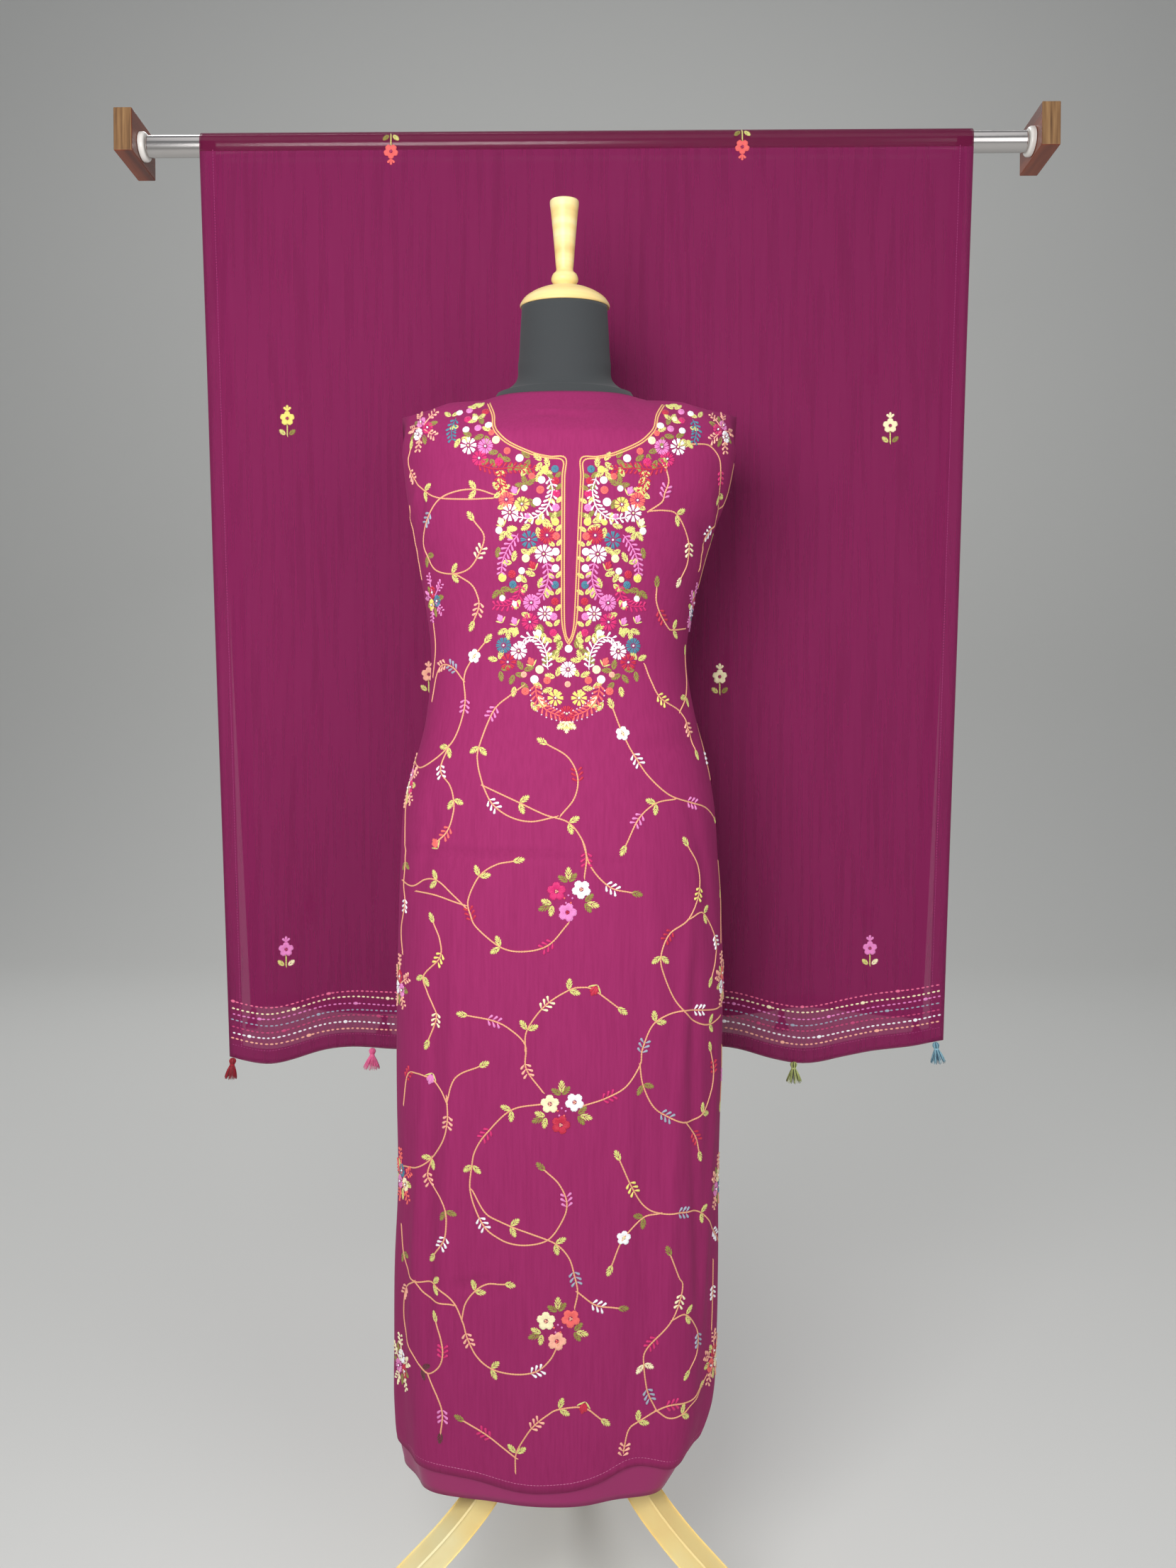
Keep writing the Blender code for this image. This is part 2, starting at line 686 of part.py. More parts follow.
def make_leg(name, degrees):
    """A curved wooden leg of rectangular section; degrees from straight ahead, to the right."""
    angle = math.radians(degrees)
    out = Vector((math.sin(angle), -math.cos(angle), 0.0))
    across = Vector((out.y, -out.x, 0.0)) * 0.5 * LEG_WIDTH
    points, faces = [], []
    for upper_distance, upper_z, lower_distance, lower_z in LEG_EDGES:
        upper = FORM_PLACE + out * upper_distance + Vector((0.0, 0.0, upper_z))
        lower = FORM_PLACE + out * lower_distance + Vector((0.0, 0.0, lower_z))
        points += [upper - across, upper + across, lower + across, lower - across]
    for section in range(len(LEG_EDGES) - 1):
        a = 4 * section
        faces += bridge(range(a, a + 4), range(a + 4, a + 8))
    faces.append((3, 2, 1, 0))
    end = len(points) - 4
    faces.append((end, end + 1, end + 2, end + 3))
    new_object(name, points, faces, "pale_wood")


def make_stand():
    """Pole, hub, three legs, and the turned cap and finial on the neck."""
    pole = ((POLE_RADIUS, HUB_TOP_Z + JOIN_GAP), (POLE_RADIUS, FORM_BASE_Z - JOIN_GAP))
    turned_solid("stand_pole", pole, POLE_SEGMENTS, "pale_wood", FORM_PLACE)
    hub = ((HUB_RADIUS - HUB_EDGE, HUB_BOTTOM_Z), (HUB_RADIUS, HUB_BOTTOM_Z + HUB_EDGE),
           (HUB_RADIUS, HUB_TOP_Z - HUB_EDGE), (HUB_RADIUS - HUB_EDGE, HUB_TOP_Z))
    turned_solid("stand_hub", hub, ROD_SEGMENTS, "pale_wood", FORM_PLACE)
    neck_axis = Vector((0.0, -math.sin(math.radians(NECK_TILT_DEG)), math.cos(math.radians(NECK_TILT_DEG))))
    on_neck = FORM_PLACE + Vector((0.0, 0.0, NECK_TOP_Z)) - NECK_TOP_Z * neck_axis
    turned_solid("neck_cap", CAP_PROFILE, CAP_SEGMENTS, "pale_wood", on_neck, neck_axis)
    turned_solid("finial", FINIAL_PROFILE, FINIAL_SEGMENTS, "pale_wood", on_neck, neck_axis)
    make_leg("leg_left", -LEG_SPREAD_DEG)
    make_leg("leg_right", LEG_SPREAD_DEG)
    make_leg("leg_back", 180.0)


def make_rod():
    """The rod with an end flange and a wall block at each side."""
    reach = BLOCK_INNER_X - JOIN_GAP
    rod_half = reach - FLANGE_THICKNESS - JOIN_GAP
    along = (1.0, 0.0, 0.0)
    rod_centre = Vector((0.0, ROD_Y, ROD_Z))
    turned_solid("rod", ((ROD_RADIUS, -rod_half), (ROD_RADIUS, rod_half)), ROD_SEGMENTS, "chrome_rod",
                 rod_centre, along)
    flange = ((FLANGE_RIM_RADIUS, 0.0), (FLANGE_RADIUS, 0.5 * FLANGE_THICKNESS),
              (FLANGE_RADIUS, FLANGE_THICKNESS))
    for sign, word in ((-1.0, "left"), (1.0, "right")):
        foot = rod_centre + Vector((sign * (reach - FLANGE_THICKNESS), 0.0, 0.0))
        turned_solid("flange_" + word, flange, ROD_SEGMENTS, "white_flange", foot, (sign, 0.0, 0.0))
        bm = bmesh.new()
        bmesh.ops.create_cube(bm, size=1.0)
        bmesh.ops.scale(bm, verts=bm.verts, vec=(BLOCK_THICKNESS, BLOCK_DEPTH, BLOCK_HEIGHT))
        centre = Vector((sign * (BLOCK_INNER_X + 0.5 * BLOCK_THICKNESS), ROD_Y + BLOCK_BEHIND_ROD, BLOCK_Z))
        bmesh.ops.translate(bm, verts=bm.verts, vec=centre)
        mesh = bpy.data.meshes.new("block_" + word)
        bm.to_mesh(mesh)
        bm.free()
        mesh.materials.append(bpy.data.materials["brown_wood"])
        block = bpy.data.objects.new("block_" + word, mesh)
        collection.objects.link(block)
        bevel = block.modifiers.new("edges", "BEVEL")
        bevel.width = BLOCK_EDGE
        bevel.segments = 1


for old in list(bpy.data.objects):
    bpy.data.objects.remove(old, do_unlink=True)
collection = bpy.data.collections.new("salwar_kameez_suit")
bpy.context.scene.collection.children.link(collection)
for material_name, colour, metallic, roughness in MATERIALS:
    made = bpy.data.materials.new(material_name)
    made.use_nodes = True
    shader = made.node_tree.nodes["Principled BSDF"]
    shader.inputs["Base Color"].default_value = (*colour, 1.0)
    shader.inputs["Metallic"].default_value = metallic
    shader.inputs["Roughness"].default_value = roughness
make_kameez()
make_form_body()
make_stand()
make_rod()
make_dupatta()
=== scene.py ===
"""Looks of the salwar kameez set: georgette, satin, thread work, jersey, wood and chrome.

Metres, +Z up, front to -Y. Places on the front length are (s, z): s along the cloth from the middle of its
thread work towards the right, z the height.
"""

import math

import bpy
import numpy as np
from mathutils import Matrix, Vector
from mathutils.bvhtree import BVHTree


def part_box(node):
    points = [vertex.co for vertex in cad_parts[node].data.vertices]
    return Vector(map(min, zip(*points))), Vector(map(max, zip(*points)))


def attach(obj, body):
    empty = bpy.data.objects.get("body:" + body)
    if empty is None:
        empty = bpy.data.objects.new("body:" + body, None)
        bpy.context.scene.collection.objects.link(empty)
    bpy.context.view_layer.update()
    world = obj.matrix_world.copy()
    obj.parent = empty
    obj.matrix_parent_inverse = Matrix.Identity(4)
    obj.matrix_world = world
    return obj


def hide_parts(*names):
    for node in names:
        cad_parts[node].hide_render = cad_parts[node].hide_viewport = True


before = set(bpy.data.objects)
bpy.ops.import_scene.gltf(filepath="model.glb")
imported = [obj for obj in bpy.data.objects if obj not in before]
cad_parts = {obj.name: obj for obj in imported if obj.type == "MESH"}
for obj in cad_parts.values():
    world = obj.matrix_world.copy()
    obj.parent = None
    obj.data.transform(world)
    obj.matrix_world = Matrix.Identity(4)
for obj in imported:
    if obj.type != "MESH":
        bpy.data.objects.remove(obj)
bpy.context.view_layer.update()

# Sizes shared with the solids
FORM_X = -0.020
NECK_HALF_WIDTH = 0.082
NECK_HALF_DEPTH = 0.063
NECK_EDGE_CENTRE_Z = 1.3547
NECK_EDGE_SIDE_Z = 1.361
SHOULDER_TIP_Z = 1.346
SHOULDER_FOOT_Z = 1.300
SHOULDER_SPREAD = 1.012
SHOULDER_FULLNESS = 0.65
SIDE_COLUMNS = 12
NECK_COLUMNS = 6
ROUNDED_FROM_COLUMN = 3
ROUNDED_OVER_COLUMNS = 5
NECK_RISE_POWER = 0.9
SQUARENESS = 2.35
SEAM_GAP = 0.0010
FORM_BASE_Z = 0.760
BASE_SHRINK = 0.92
LEG_REACH = 0.3720
LEG_FRONT_REACH = 0.1860
LEG_FRONT_CORNER = 0.0112583
FORM_Y = -0.5 * (LEG_REACH - LEG_FRONT_REACH - LEG_FRONT_CORNER)
LEG_WIDTH = 0.026
LEG_SPREAD_DEG = 60.0
ROD_Y = FORM_Y + 0.167
ROD_Z = 1.731
ROD_RADIUS = 0.0125
FALL_RADIUS = 0.0147
FALL_TOP_HALF = 0.474
FALL_BOTTOM_HALF = 0.443
BACK_FALL_NARROWER = 0.018
FALL_SEAM = 0.0005
BACK_HEM_Z = 0.652
BACK_HEM_WAVE = 0.5
MIDDLE_HEM_Z = 0.605
BAND_TOP_Z = 0.300
RING_LOW_Z = 0.262

# Kameez: half widths and half depths from the form's axis
SECTIONS = (
    # z, left, right, front, back
    (0.203, 0.181, 0.130, 0.106, 0.104),
    (0.232, 0.187, 0.150, 0.108, 0.106),
    (0.261, 0.189, 0.161, 0.110, 0.107),
    (0.332, 0.189, 0.167, 0.111, 0.108),
    (0.420, 0.188, 0.169, 0.112, 0.108),
    (0.508, 0.184, 0.169, 0.112, 0.108),
    (0.596, 0.185, 0.171, 0.112, 0.109),
    (0.683, 0.185, 0.173, 0.114, 0.111),
    (0.770, 0.183, 0.173, 0.116, 0.114),
    (0.857, 0.180, 0.168, 0.116, 0.116),
    (0.926, 0.175, 0.163, 0.112, 0.114),
    (0.961, 0.166, 0.157, 0.108, 0.109),
    (1.004, 0.154, 0.146, 0.102, 0.103),
    (1.047, 0.148, 0.137, 0.098, 0.098),
    (1.082, 0.146, 0.133, 0.098, 0.096),
    (1.125, 0.150, 0.138, 0.104, 0.098),
    (1.168, 0.157, 0.148, 0.114, 0.102),
    (1.219, 0.166, 0.163, 0.120, 0.106),
    (1.250, 0.171, 0.175, 0.118, 0.108),
    (1.300, 0.177, 0.186, 0.110, 0.107),
)

# Outer hem, by angle from the middle of the front towards the right
OUTER_HEM = (
    # degrees, z
    (-180.0, 0.241),
    (-135.0, 0.238),
    (-90.0, 0.228),
    (-30.0, 0.227),
    (-5.0, 0.2205),
    (12.0, 0.230),
    (25.0, 0.242),
    (45.0, 0.231),
    (70.0, 0.235),
    (90.0, 0.236),
    (135.0, 0.234),
    (180.0, 0.241),
)

# Lower edge of the under-cloth, by the same angle
UNDER_HEM = (
    # degrees, z
    (-180.0, 0.216),
    (-140.0, 0.209),
    (-90.0, 0.201),
    (-40.0, 0.202),
    (0.0, 0.2045),
    (50.0, 0.205),
    (90.0, 0.208),
    (140.0, 0.210),
    (180.0, 0.216),
)

# Upright folds of the skirt, growing from their start down to the hem; outward is positive
FOLD_FULL_Z = 0.24
SKIRT_FOLDS = (
    # degrees, depth, half width in degrees, start z
    (-66.0, -0.0050, 15.0, 0.56),
    (-46.0, 0.0040, 14.0, 0.62),
    (-24.0, -0.0030, 14.0, 0.50),
    (-2.0, 0.0030, 16.0, 0.46),
    (22.0, -0.0040, 15.0, 0.60),
    (44.0, 0.0045, 14.0, 0.66),
    (66.0, -0.0045, 14.0, 0.70),
    (112.0, 0.0050, 16.0, 0.66),
    (135.0, -0.0050, 15.0, 0.60),
    (160.0, 0.0045, 16.0, 0.68),
    (-172.0, -0.0045, 16.0, 0.60),
    (-146.0, 0.0050, 16.0, 0.66),
    (-118.0, -0.0045, 15.0, 0.60),
)

# How far the back length starts behind the side, which leaves the armholes open
ARMHOLE = (
    # z, degrees
    (1.105, 0.0),
    (1.160, 11.0),
    (1.250, 17.0),
    (1.310, 14.0),
    (1.346, 0.0),
)

# Neck of the form above the shoulders; each ring leans forward by its slope
NECK_TOP_Z = 1.4640
NECK_TILT_DEG = 9.0
NECK_SLOPE = math.tan(math.radians(NECK_TILT_DEG))
NECK_RINGS = (
    # half width, half depth, z, slope
    (0.0755, 0.0595, 1.3685, 0.08),
    (0.0652, 0.0572, 1.3735, 0.15),
    (0.0574, 0.0550, 1.3800, 0.20),
    (0.0527, 0.0520, 1.4020, 0.18),
    (0.0504, 0.0502, 1.4340, 0.17),
    (0.0485, 0.0485, NECK_TOP_Z, NECK_SLOPE),
)

NECK_BY_HEIGHT = tuple((z, half_width, half_depth, slope)
                       for half_width, half_depth, z, slope in NECK_RINGS)

# Lower edge of the dupatta's front fall
FALL_HEM = (
    # x, z
    (-0.443, 0.601),
    (-0.397, 0.593),
    (-0.310, 0.611),
    (-0.240, 0.612),
    (-0.090, 0.603),
    (0.070, 0.608),
    (0.175, 0.614),
    (0.275, 0.595),
    (0.345, 0.607),
    (0.443, 0.624),
)

# Soft upright folds of the dupatta, by share of the half width; towards the front is positive
FALL_FOLDS = (
    # share, depth, half width in shares
    (-0.92, 0.0050, 0.16),
    (-0.70, -0.0040, 0.17),
    (-0.48, 0.0055, 0.18),
    (-0.24, -0.0040, 0.17),
    (0.02, 0.0045, 0.20),
    (0.30, -0.0035, 0.18),
    (0.54, 0.0060, 0.18),
    (0.76, -0.0045, 0.16),
    (0.93, 0.0045, 0.14),
)

# Leg in its own upright plane: distance from the form's axis and height of its two edges
LEG_EDGES = (
    # upper distance, upper z, lower distance, lower z
    (0.0345, 0.2900, 0.0345, 0.2500),
    (0.0703, 0.2447, 0.0497, 0.2273),
    (0.0933, 0.2137, 0.0727, 0.1963),
    (0.1162, 0.1854, 0.0968, 0.1666),
    (0.1483, 0.1581, 0.1317, 0.1369),
    (0.1845, 0.1337, 0.1695, 0.1113),
    (0.2224, 0.1093, 0.2076, 0.0867),
    (0.2622, 0.0839, 0.2478, 0.0611),
    (0.3020, 0.0596, 0.2880, 0.0364),
    (0.3345, 0.0403, 0.3215, 0.0167),
    (0.3560, 0.0300, 0.3450, 0.0000),
    (0.3700, 0.0200, 0.3720, 0.0000),
)

# Turned wood above the neck
CAP_PROFILE = (
    # radius, z
    (0.0486, 1.4645),
    (0.0492, 1.4662),
    (0.0480, 1.4690),
    (0.0436, 1.4745),
    (0.0340, 1.4805),
    (0.0220, 1.4850),
    (0.0110, 1.4866),
)
FINIAL_PROFILE = (
    # radius, z
    (0.0090, 1.4870),
    (0.0138, 1.4910),
    (0.0146, 1.4950),
    (0.0128, 1.4995),
    (0.0094, 1.5030),
    (0.0100, 1.5120),
    (0.0120, 1.5360),
    (0.0146, 1.5625),
    (0.0156, 1.5705),
    (0.0146, 1.5743),
    (0.0080, 1.5755),
)

POLE_PROFILE = (
    # radius, z
    (0.0140, 0.3054),
    (0.0140, 0.5300),
    (0.0140, 0.7596),
)
HUB_PROFILE = (
    # radius, z
    (0.0300, 0.2320),
    (0.0332, 0.2332),
    (0.0340, 0.2365),
    (0.0340, 0.2680),
    (0.0340, 0.3005),
    (0.0332, 0.3038),
    (0.0300, 0.3050),
)
FLANGE_RADIUS = 0.017
FLANGE_EDGE = (
    # inwards from the rim, depth from the flange's open face
    (0.0025, 0.0000),
    (0.0012, 0.0006),
    (0.0003, 0.0018),
    (0.0000, 0.0034),
)

# Fine sizes of the shells
SHELL = 0.0008
ROW_STEP = 0.006
HALF_COLUMNS = 52
SHOULDER_ROWS = 16
HEM_ROWS = 5
CENTRE_S = 0.009
MAP_STEP = 0.0025
MAP_HALF = 0.250
EDGE_FREE_COLUMNS = 5.0
TOP_FREE_ROWS = 4.0
UNDER_ROWS = 15
UNDER_INSET = 0.0012 + 0.0016
UNDER_TOP_INSET = 0.0012 + 0.0004
SKIN_INSET = 0.0022
SKIN_DEEPER = 0.0028
SKIN_DEEP_BELOW_Z = 1.36
SKIN_DEEP_OVER = 0.02
SKIN_SHOULDER_DROP = 0.0012
SKIN_FROM_Z = 0.79
NECK_LOOPS = 28

# Creases of the front length
FRONT_CREASES = (
    # s, z, degrees from level, half length, half width, depth (inward is negative), bend
    (-0.150, 1.311, -3.0, 0.040, 0.0050, -0.0016, 0.004),
    (-0.150, 1.290, 4.0, 0.050, 0.0080, 0.0018, -0.003),
    (-0.140, 1.272, 8.0, 0.045, 0.0070, -0.0018, 0.003),
    (-0.178, 1.215, 52.0, 0.030, 0.0060, -0.0024, 0.004),
    (-0.190, 1.236, 40.0, 0.026, 0.0070, 0.0026, 0.003),
    (-0.168, 1.195, 60.0, 0.034, 0.0080, 0.0018, -0.004),
    (0.196, 1.232, -48.0, 0.034, 0.0070, -0.0028, 0.004),
    (0.186, 1.214, -40.0, 0.036, 0.0080, 0.0030, 0.003),
    (0.172, 1.198, -34.0, 0.040, 0.0070, -0.0024, -0.004),
    (0.158, 1.178, -28.0, 0.036, 0.0080, 0.0018, 0.002),
    (0.140, 1.290, 10.0, 0.046, 0.0080, -0.0014, 0.003),
    (-0.018, 1.322, -4.0, 0.030, 0.0028, -0.0016, -0.004),
    (0.010, 1.326, 2.0, 0.040, 0.0050, 0.0010, 0.003),
    (-0.070, 0.874, -1.5, 0.125, 0.0034, -0.0019, -0.003),
    (-0.070, 0.882, -1.5, 0.120, 0.0050, 0.0013, -0.003),
    (-0.165, 0.905, 12.0, 0.030, 0.0040, -0.0016, 0.003),
    (-0.120, 0.864, 14.0, 0.030, 0.0045, -0.0012, 0.002),
    (0.110, 0.985, 7.0, 0.060, 0.0080, -0.0012, 0.004),
    (0.125, 1.010, 10.0, 0.045, 0.0070, 0.0012, 0.002),
    (-0.155, 0.880, 78.0, 0.060, 0.0120, -0.0018, 0.006),
    (0.150, 0.860, -76.0, 0.070, 0.0120, -0.0018, -0.006),
    (-0.095, 0.800, 84.0, 0.110, 0.0150, 0.0016, 0.006),
    (0.090, 0.760, -86.0, 0.120, 0.0160, 0.0016, -0.005),
    (-0.128, 0.560, 87.0, 0.230, 0.0110, 0.0030, 0.006),
    (-0.152, 0.540, 89.0, 0.200, 0.0100, -0.0026, -0.005),
    (-0.178, 0.420, 86.0, 0.150, 0.0100, 0.0022, 0.004),
    (-0.076, 0.520, 88.0, 0.170, 0.0110, -0.0016, 0.005),
    (-0.066, 0.435, 60.0, 0.018, 0.0070, -0.0028, 0.002),
    (-0.105, 0.430, 18.0, 0.020, 0.0070, -0.0030, 0.003),
    (-0.020, 0.470, 86.0, 0.160, 0.0130, 0.0013, -0.005),
    (0.056, 0.500, 88.0, 0.200, 0.0120, 0.0020, 0.006),
    (0.078, 0.430, -87.0, 0.150, 0.0100, -0.0018, 0.004),
    (0.112, 0.600, 86.0, 0.240, 0.0120, 0.0024, -0.006),
    (0.136, 0.560, -88.0, 0.210, 0.0100, -0.0024, 0.005),
    (0.165, 0.500, 84.0, 0.180, 0.0110, 0.0022, 0.004),
    (0.150, 0.285, -18.0, 0.030, 0.0070, -0.0020, 0.004),
    (0.095, 0.270, 10.0, 0.028, 0.0060, 0.0012, 0.003),
)

# Creases of the back length, s being the same from its own middle
BACK_CREASES = (
    # s, z, degrees from level, half length, half width, depth, bend
    (0.140, 1.290, 8.0, 0.045, 0.0080, -0.0016, 0.003),
    (-0.145, 1.280, -6.0, 0.045, 0.0080, -0.0014, 0.003),
    (0.000, 1.240, 2.0, 0.080, 0.0120, -0.0012, 0.004),
    (0.160, 1.180, -46.0, 0.036, 0.0080, -0.0022, 0.004),
    (-0.160, 1.175, 44.0, 0.036, 0.0080, -0.0022, 0.004),
    (0.060, 0.985, 3.0, 0.090, 0.0070, -0.0015, 0.003),
    (-0.070, 0.995, -4.0, 0.070, 0.0070, 0.0014, -0.002),
    (0.130, 0.880, 82.0, 0.090, 0.0140, -0.0018, 0.006),
    (-0.120, 0.860, -80.0, 0.100, 0.0140, 0.0018, 0.006),
    (0.000, 0.640, 88.0, 0.260, 0.0160, 0.0022, 0.007),
    (0.070, 0.560, 86.0, 0.230, 0.0120, -0.0022, 0.005),
    (0.130, 0.520, 88.0, 0.210, 0.0120, 0.0024, -0.005),
    (0.180, 0.470, 87.0, 0.170, 0.0100, -0.0020, 0.004),
    (-0.060, 0.520, -88.0, 0.220, 0.0120, -0.0018, 0.005),
    (-0.120, 0.560, -86.0, 0.230, 0.0120, 0.0024, -0.006),
    (-0.175, 0.480, -88.0, 0.180, 0.0110, -0.0022, 0.004),
)
FORM_PLACE = np.array((FORM_X, FORM_Y, 0.0))
CREASE_FREE_Z = 0.245
CREASE_FULL_Z = 0.300


def smooth(table, at, column):
    """A column's values at places in the table's first column, on a smooth curve through its rows."""
    places = np.array([row[0] for row in table])
    values = np.array([row[column] for row in table])
    slopes = np.gradient(values, places)
    at = np.clip(at, places[0], places[-1])
    i = np.clip(np.searchsorted(places, at, side="right") - 1, 0, len(places) - 2)
    step = places[i + 1] - places[i]
    s = (at - places[i]) / step
    start = values[i] * (1 + 2 * s) * (1 - s) ** 2 + slopes[i] * step * s * (1 - s) ** 2
    end = values[i + 1] * s * s * (3 - 2 * s) - slopes[i + 1] * step * s * s * (1 - s)
    return start + end


def front_angle(side, degrees):
    """Angle from the middle of the front, for an angle measured from the middle of one side's length."""
    return degrees if side < 0 else np.where(degrees < 0, -180.0, 180.0) - degrees


def skirt_fold(degrees, z):
    """How far the skirt's folds move the cloth outwards at an angle from the front and a height."""
    total = 0.0
    for centre, depth, half_width, start_z in SKIRT_FOLDS:
        away = np.abs((degrees - centre + 180.0) % 360.0 - 180.0) / half_width
        grown = np.clip((start_z - z) / (start_z - FOLD_FULL_Z), 0.0, 1.0)
        total = total + depth * grown * np.cos(0.5 * math.pi * np.minimum(away, 1.0)) ** 2
    return total


def ring(side, degrees, z):
    """Points of the kameez at angles from the middle of the front (side -1) or back (side 1) length."""
    angle = np.radians(degrees)
    width = np.where(degrees < 0, smooth(SECTIONS, z, 1), smooth(SECTIONS, z, 2))
    depth = smooth(SECTIONS, z, 3 if side < 0 else 4)
    power = 2.0 / SQUARENESS
    x = np.sign(degrees) * width * np.abs(np.sin(angle)) ** power
    y = side * depth * np.abs(np.cos(angle)) ** power
    out = 1.0 + skirt_fold(front_angle(side, degrees), z) / np.hypot(x, y)
    return np.stack(np.broadcast_arrays(x * out, y * out, z), axis=-1)


def column_degrees(side, column, z):
    """Angle of a column; the back length's outer columns start behind the armhole."""
    gap = smooth(ARMHOLE, z, 1) if side > 0 else 0.0
    return (90.0 - gap) * column / SIDE_COLUMNS


def shoulder(side, column, share):
    """Points from the last ring (share 0) to the shoulder line (share 1), rounded over the shoulders."""
    size = np.abs(column)
    low = ring(side, column_degrees(side, column, SHOULDER_FOOT_Z), SHOULDER_FOOT_Z)
    turn = 0.5 * math.pi * np.minimum(size, NECK_COLUMNS) / NECK_COLUMNS * np.sign(column)
    beyond = np.clip((size - NECK_COLUMNS) / (SIDE_COLUMNS - NECK_COLUMNS), 0.0, 1.0)
    tip = SHOULDER_SPREAD * np.where(column < 0, smooth(SECTIONS, SHOULDER_FOOT_Z, 1),
                                     smooth(SECTIONS, SHOULDER_FOOT_Z, 2))
    high_x = NECK_HALF_WIDTH * np.sin(turn) + np.sign(column) * beyond * (tip - NECK_HALF_WIDTH)
    high_y = side * NECK_HALF_DEPTH * np.cos(turn)
    high_z = (NECK_EDGE_SIDE_Z + (NECK_EDGE_CENTRE_Z - NECK_EDGE_SIDE_Z) * np.cos(turn) ** 2
              + beyond * (SHOULDER_TIP_Z - NECK_EDGE_SIDE_Z))
    rounded = np.clip((size - ROUNDED_FROM_COLUMN) / ROUNDED_OVER_COLUMNS, 0.0, 1.0)
    turn = 0.5 * math.pi * share
    inwards = (1 - rounded) * share + rounded * (1 - np.abs(np.cos(turn)) ** SHOULDER_FULLNESS)
    upwards = (1 - rounded) * share ** NECK_RISE_POWER + rounded * np.sin(turn)
    across = share * share * (3 - 2 * share)
    z = low[..., 2] + (high_z - low[..., 2]) * upwards
    edge = ring(side, column_degrees(side, column, z), SHOULDER_FOOT_Z)
    at_edge = np.clip(size - (SIDE_COLUMNS - 1), 0.0, 1.0)
    x = low[..., 0] + (edge[..., 0] - low[..., 0]) * at_edge
    y = low[..., 1] + (edge[..., 1] - low[..., 1]) * at_edge
    return np.stack((x + (high_x - x) * across, y + (high_y - y) * inwards, z), axis=-1)


def fine_columns():
    """Column places across a length, closer together where it turns round the side."""
    t = np.linspace(0.0, 1.0, HALF_COLUMNS + 1)
    even_angle = SIDE_COLUMNS * t
    even_width = SIDE_COLUMNS * 2.0 / math.pi * np.arcsin(t ** (0.5 * SQUARENESS))
    half = 0.5 * (even_angle + even_width)
    return np.concatenate((-half[:0:-1], half))


def arc_places(points):
    """Distance along each row from the middle of the thread work, positive to the right."""
    steps = np.linalg.norm(np.diff(points, axis=1), axis=2)
    along = np.concatenate((np.zeros((len(points), 1)), np.cumsum(steps, axis=1)), axis=1)
    return along - along[:, along.shape[1] // 2][:, None] - CENTRE_S


def grid_normals(points, side):
    """Unit normals of a grid whose rows go up and whose columns go right."""
    normals = -side * np.cross(np.gradient(points, axis=1), np.gradient(points, axis=0))
    return normals / np.maximum(np.linalg.norm(normals, axis=2, keepdims=True), 1e-12)


def crease_depth(creases, s, z):
    """How far creases move the cloth outwards: soft troughs and ridges with low banks of the other sign."""
    total = np.zeros(np.broadcast(s, z).shape)
    for s0, z0, degrees, half_length, half_width, depth, bend in creases:
        c, d = math.cos(math.radians(degrees)), math.sin(math.radians(degrees))
        along = ((s - s0) * c + (z - z0) * d) / half_length
        across = ((z - z0) * c - (s - s0) * d - bend * along ** 2) / half_width
        total += depth * np.exp(-along ** 4) * (1.0 - 0.8 * across ** 2) * np.exp(-across ** 2)
    total += 0.0004 * np.sin(37.0 * s + 21.0 * z) * np.sin(29.0 * z - 17.0 * s + 1.3)
    return total * np.clip((z - CREASE_FREE_Z) / (CREASE_FULL_Z - CREASE_FREE_Z), 0.15, 1.0)


def length_rows(side):
    """Fine rows of one kameez length from its hem to its top, before its creases."""
    columns = fine_columns()
    degrees = column_degrees(side, columns, RING_LOW_Z)
    hem = smooth(OUTER_HEM, front_angle(side, degrees), 1)
    rows = []
    for share in np.linspace(0.0, 1.0, HEM_ROWS)[:-1]:
        rows.append(ring(side, degrees, hem + share * (RING_LOW_Z - hem)))
    for z in np.arange(RING_LOW_Z, SHOULDER_FOOT_Z - 0.5 * ROW_STEP, ROW_STEP):
        rows.append(ring(side, column_degrees(side, columns, z), np.full(len(columns), z)))
    for share in np.linspace(0.0, 1.0, SHOULDER_ROWS + 1):
        rows.append(shoulder(side, columns, share))
    rows = np.array(rows)
    rows[..., 1] = side * np.maximum(side * rows[..., 1], 0.5 * SEAM_GAP)
    return rows


def creased(rows, side, creases):
    """Rows moved along their normals by the creases, fading out at the seam edges."""
    s = arc_places(rows) * (1 if side < 0 else -1)
    depth = crease_depth(creases, s, rows[..., 2])
    columns = np.arange(rows.shape[1])
    near_edge = np.clip(np.minimum(columns, columns[::-1]) / EDGE_FREE_COLUMNS, 0.0, 1.0)
    near_top = np.clip(np.arange(rows.shape[0])[::-1] / TOP_FREE_ROWS, 0.0, 1.0)
    return rows + grid_normals(rows, side) * (depth * near_edge * near_top[:, None])[..., None]


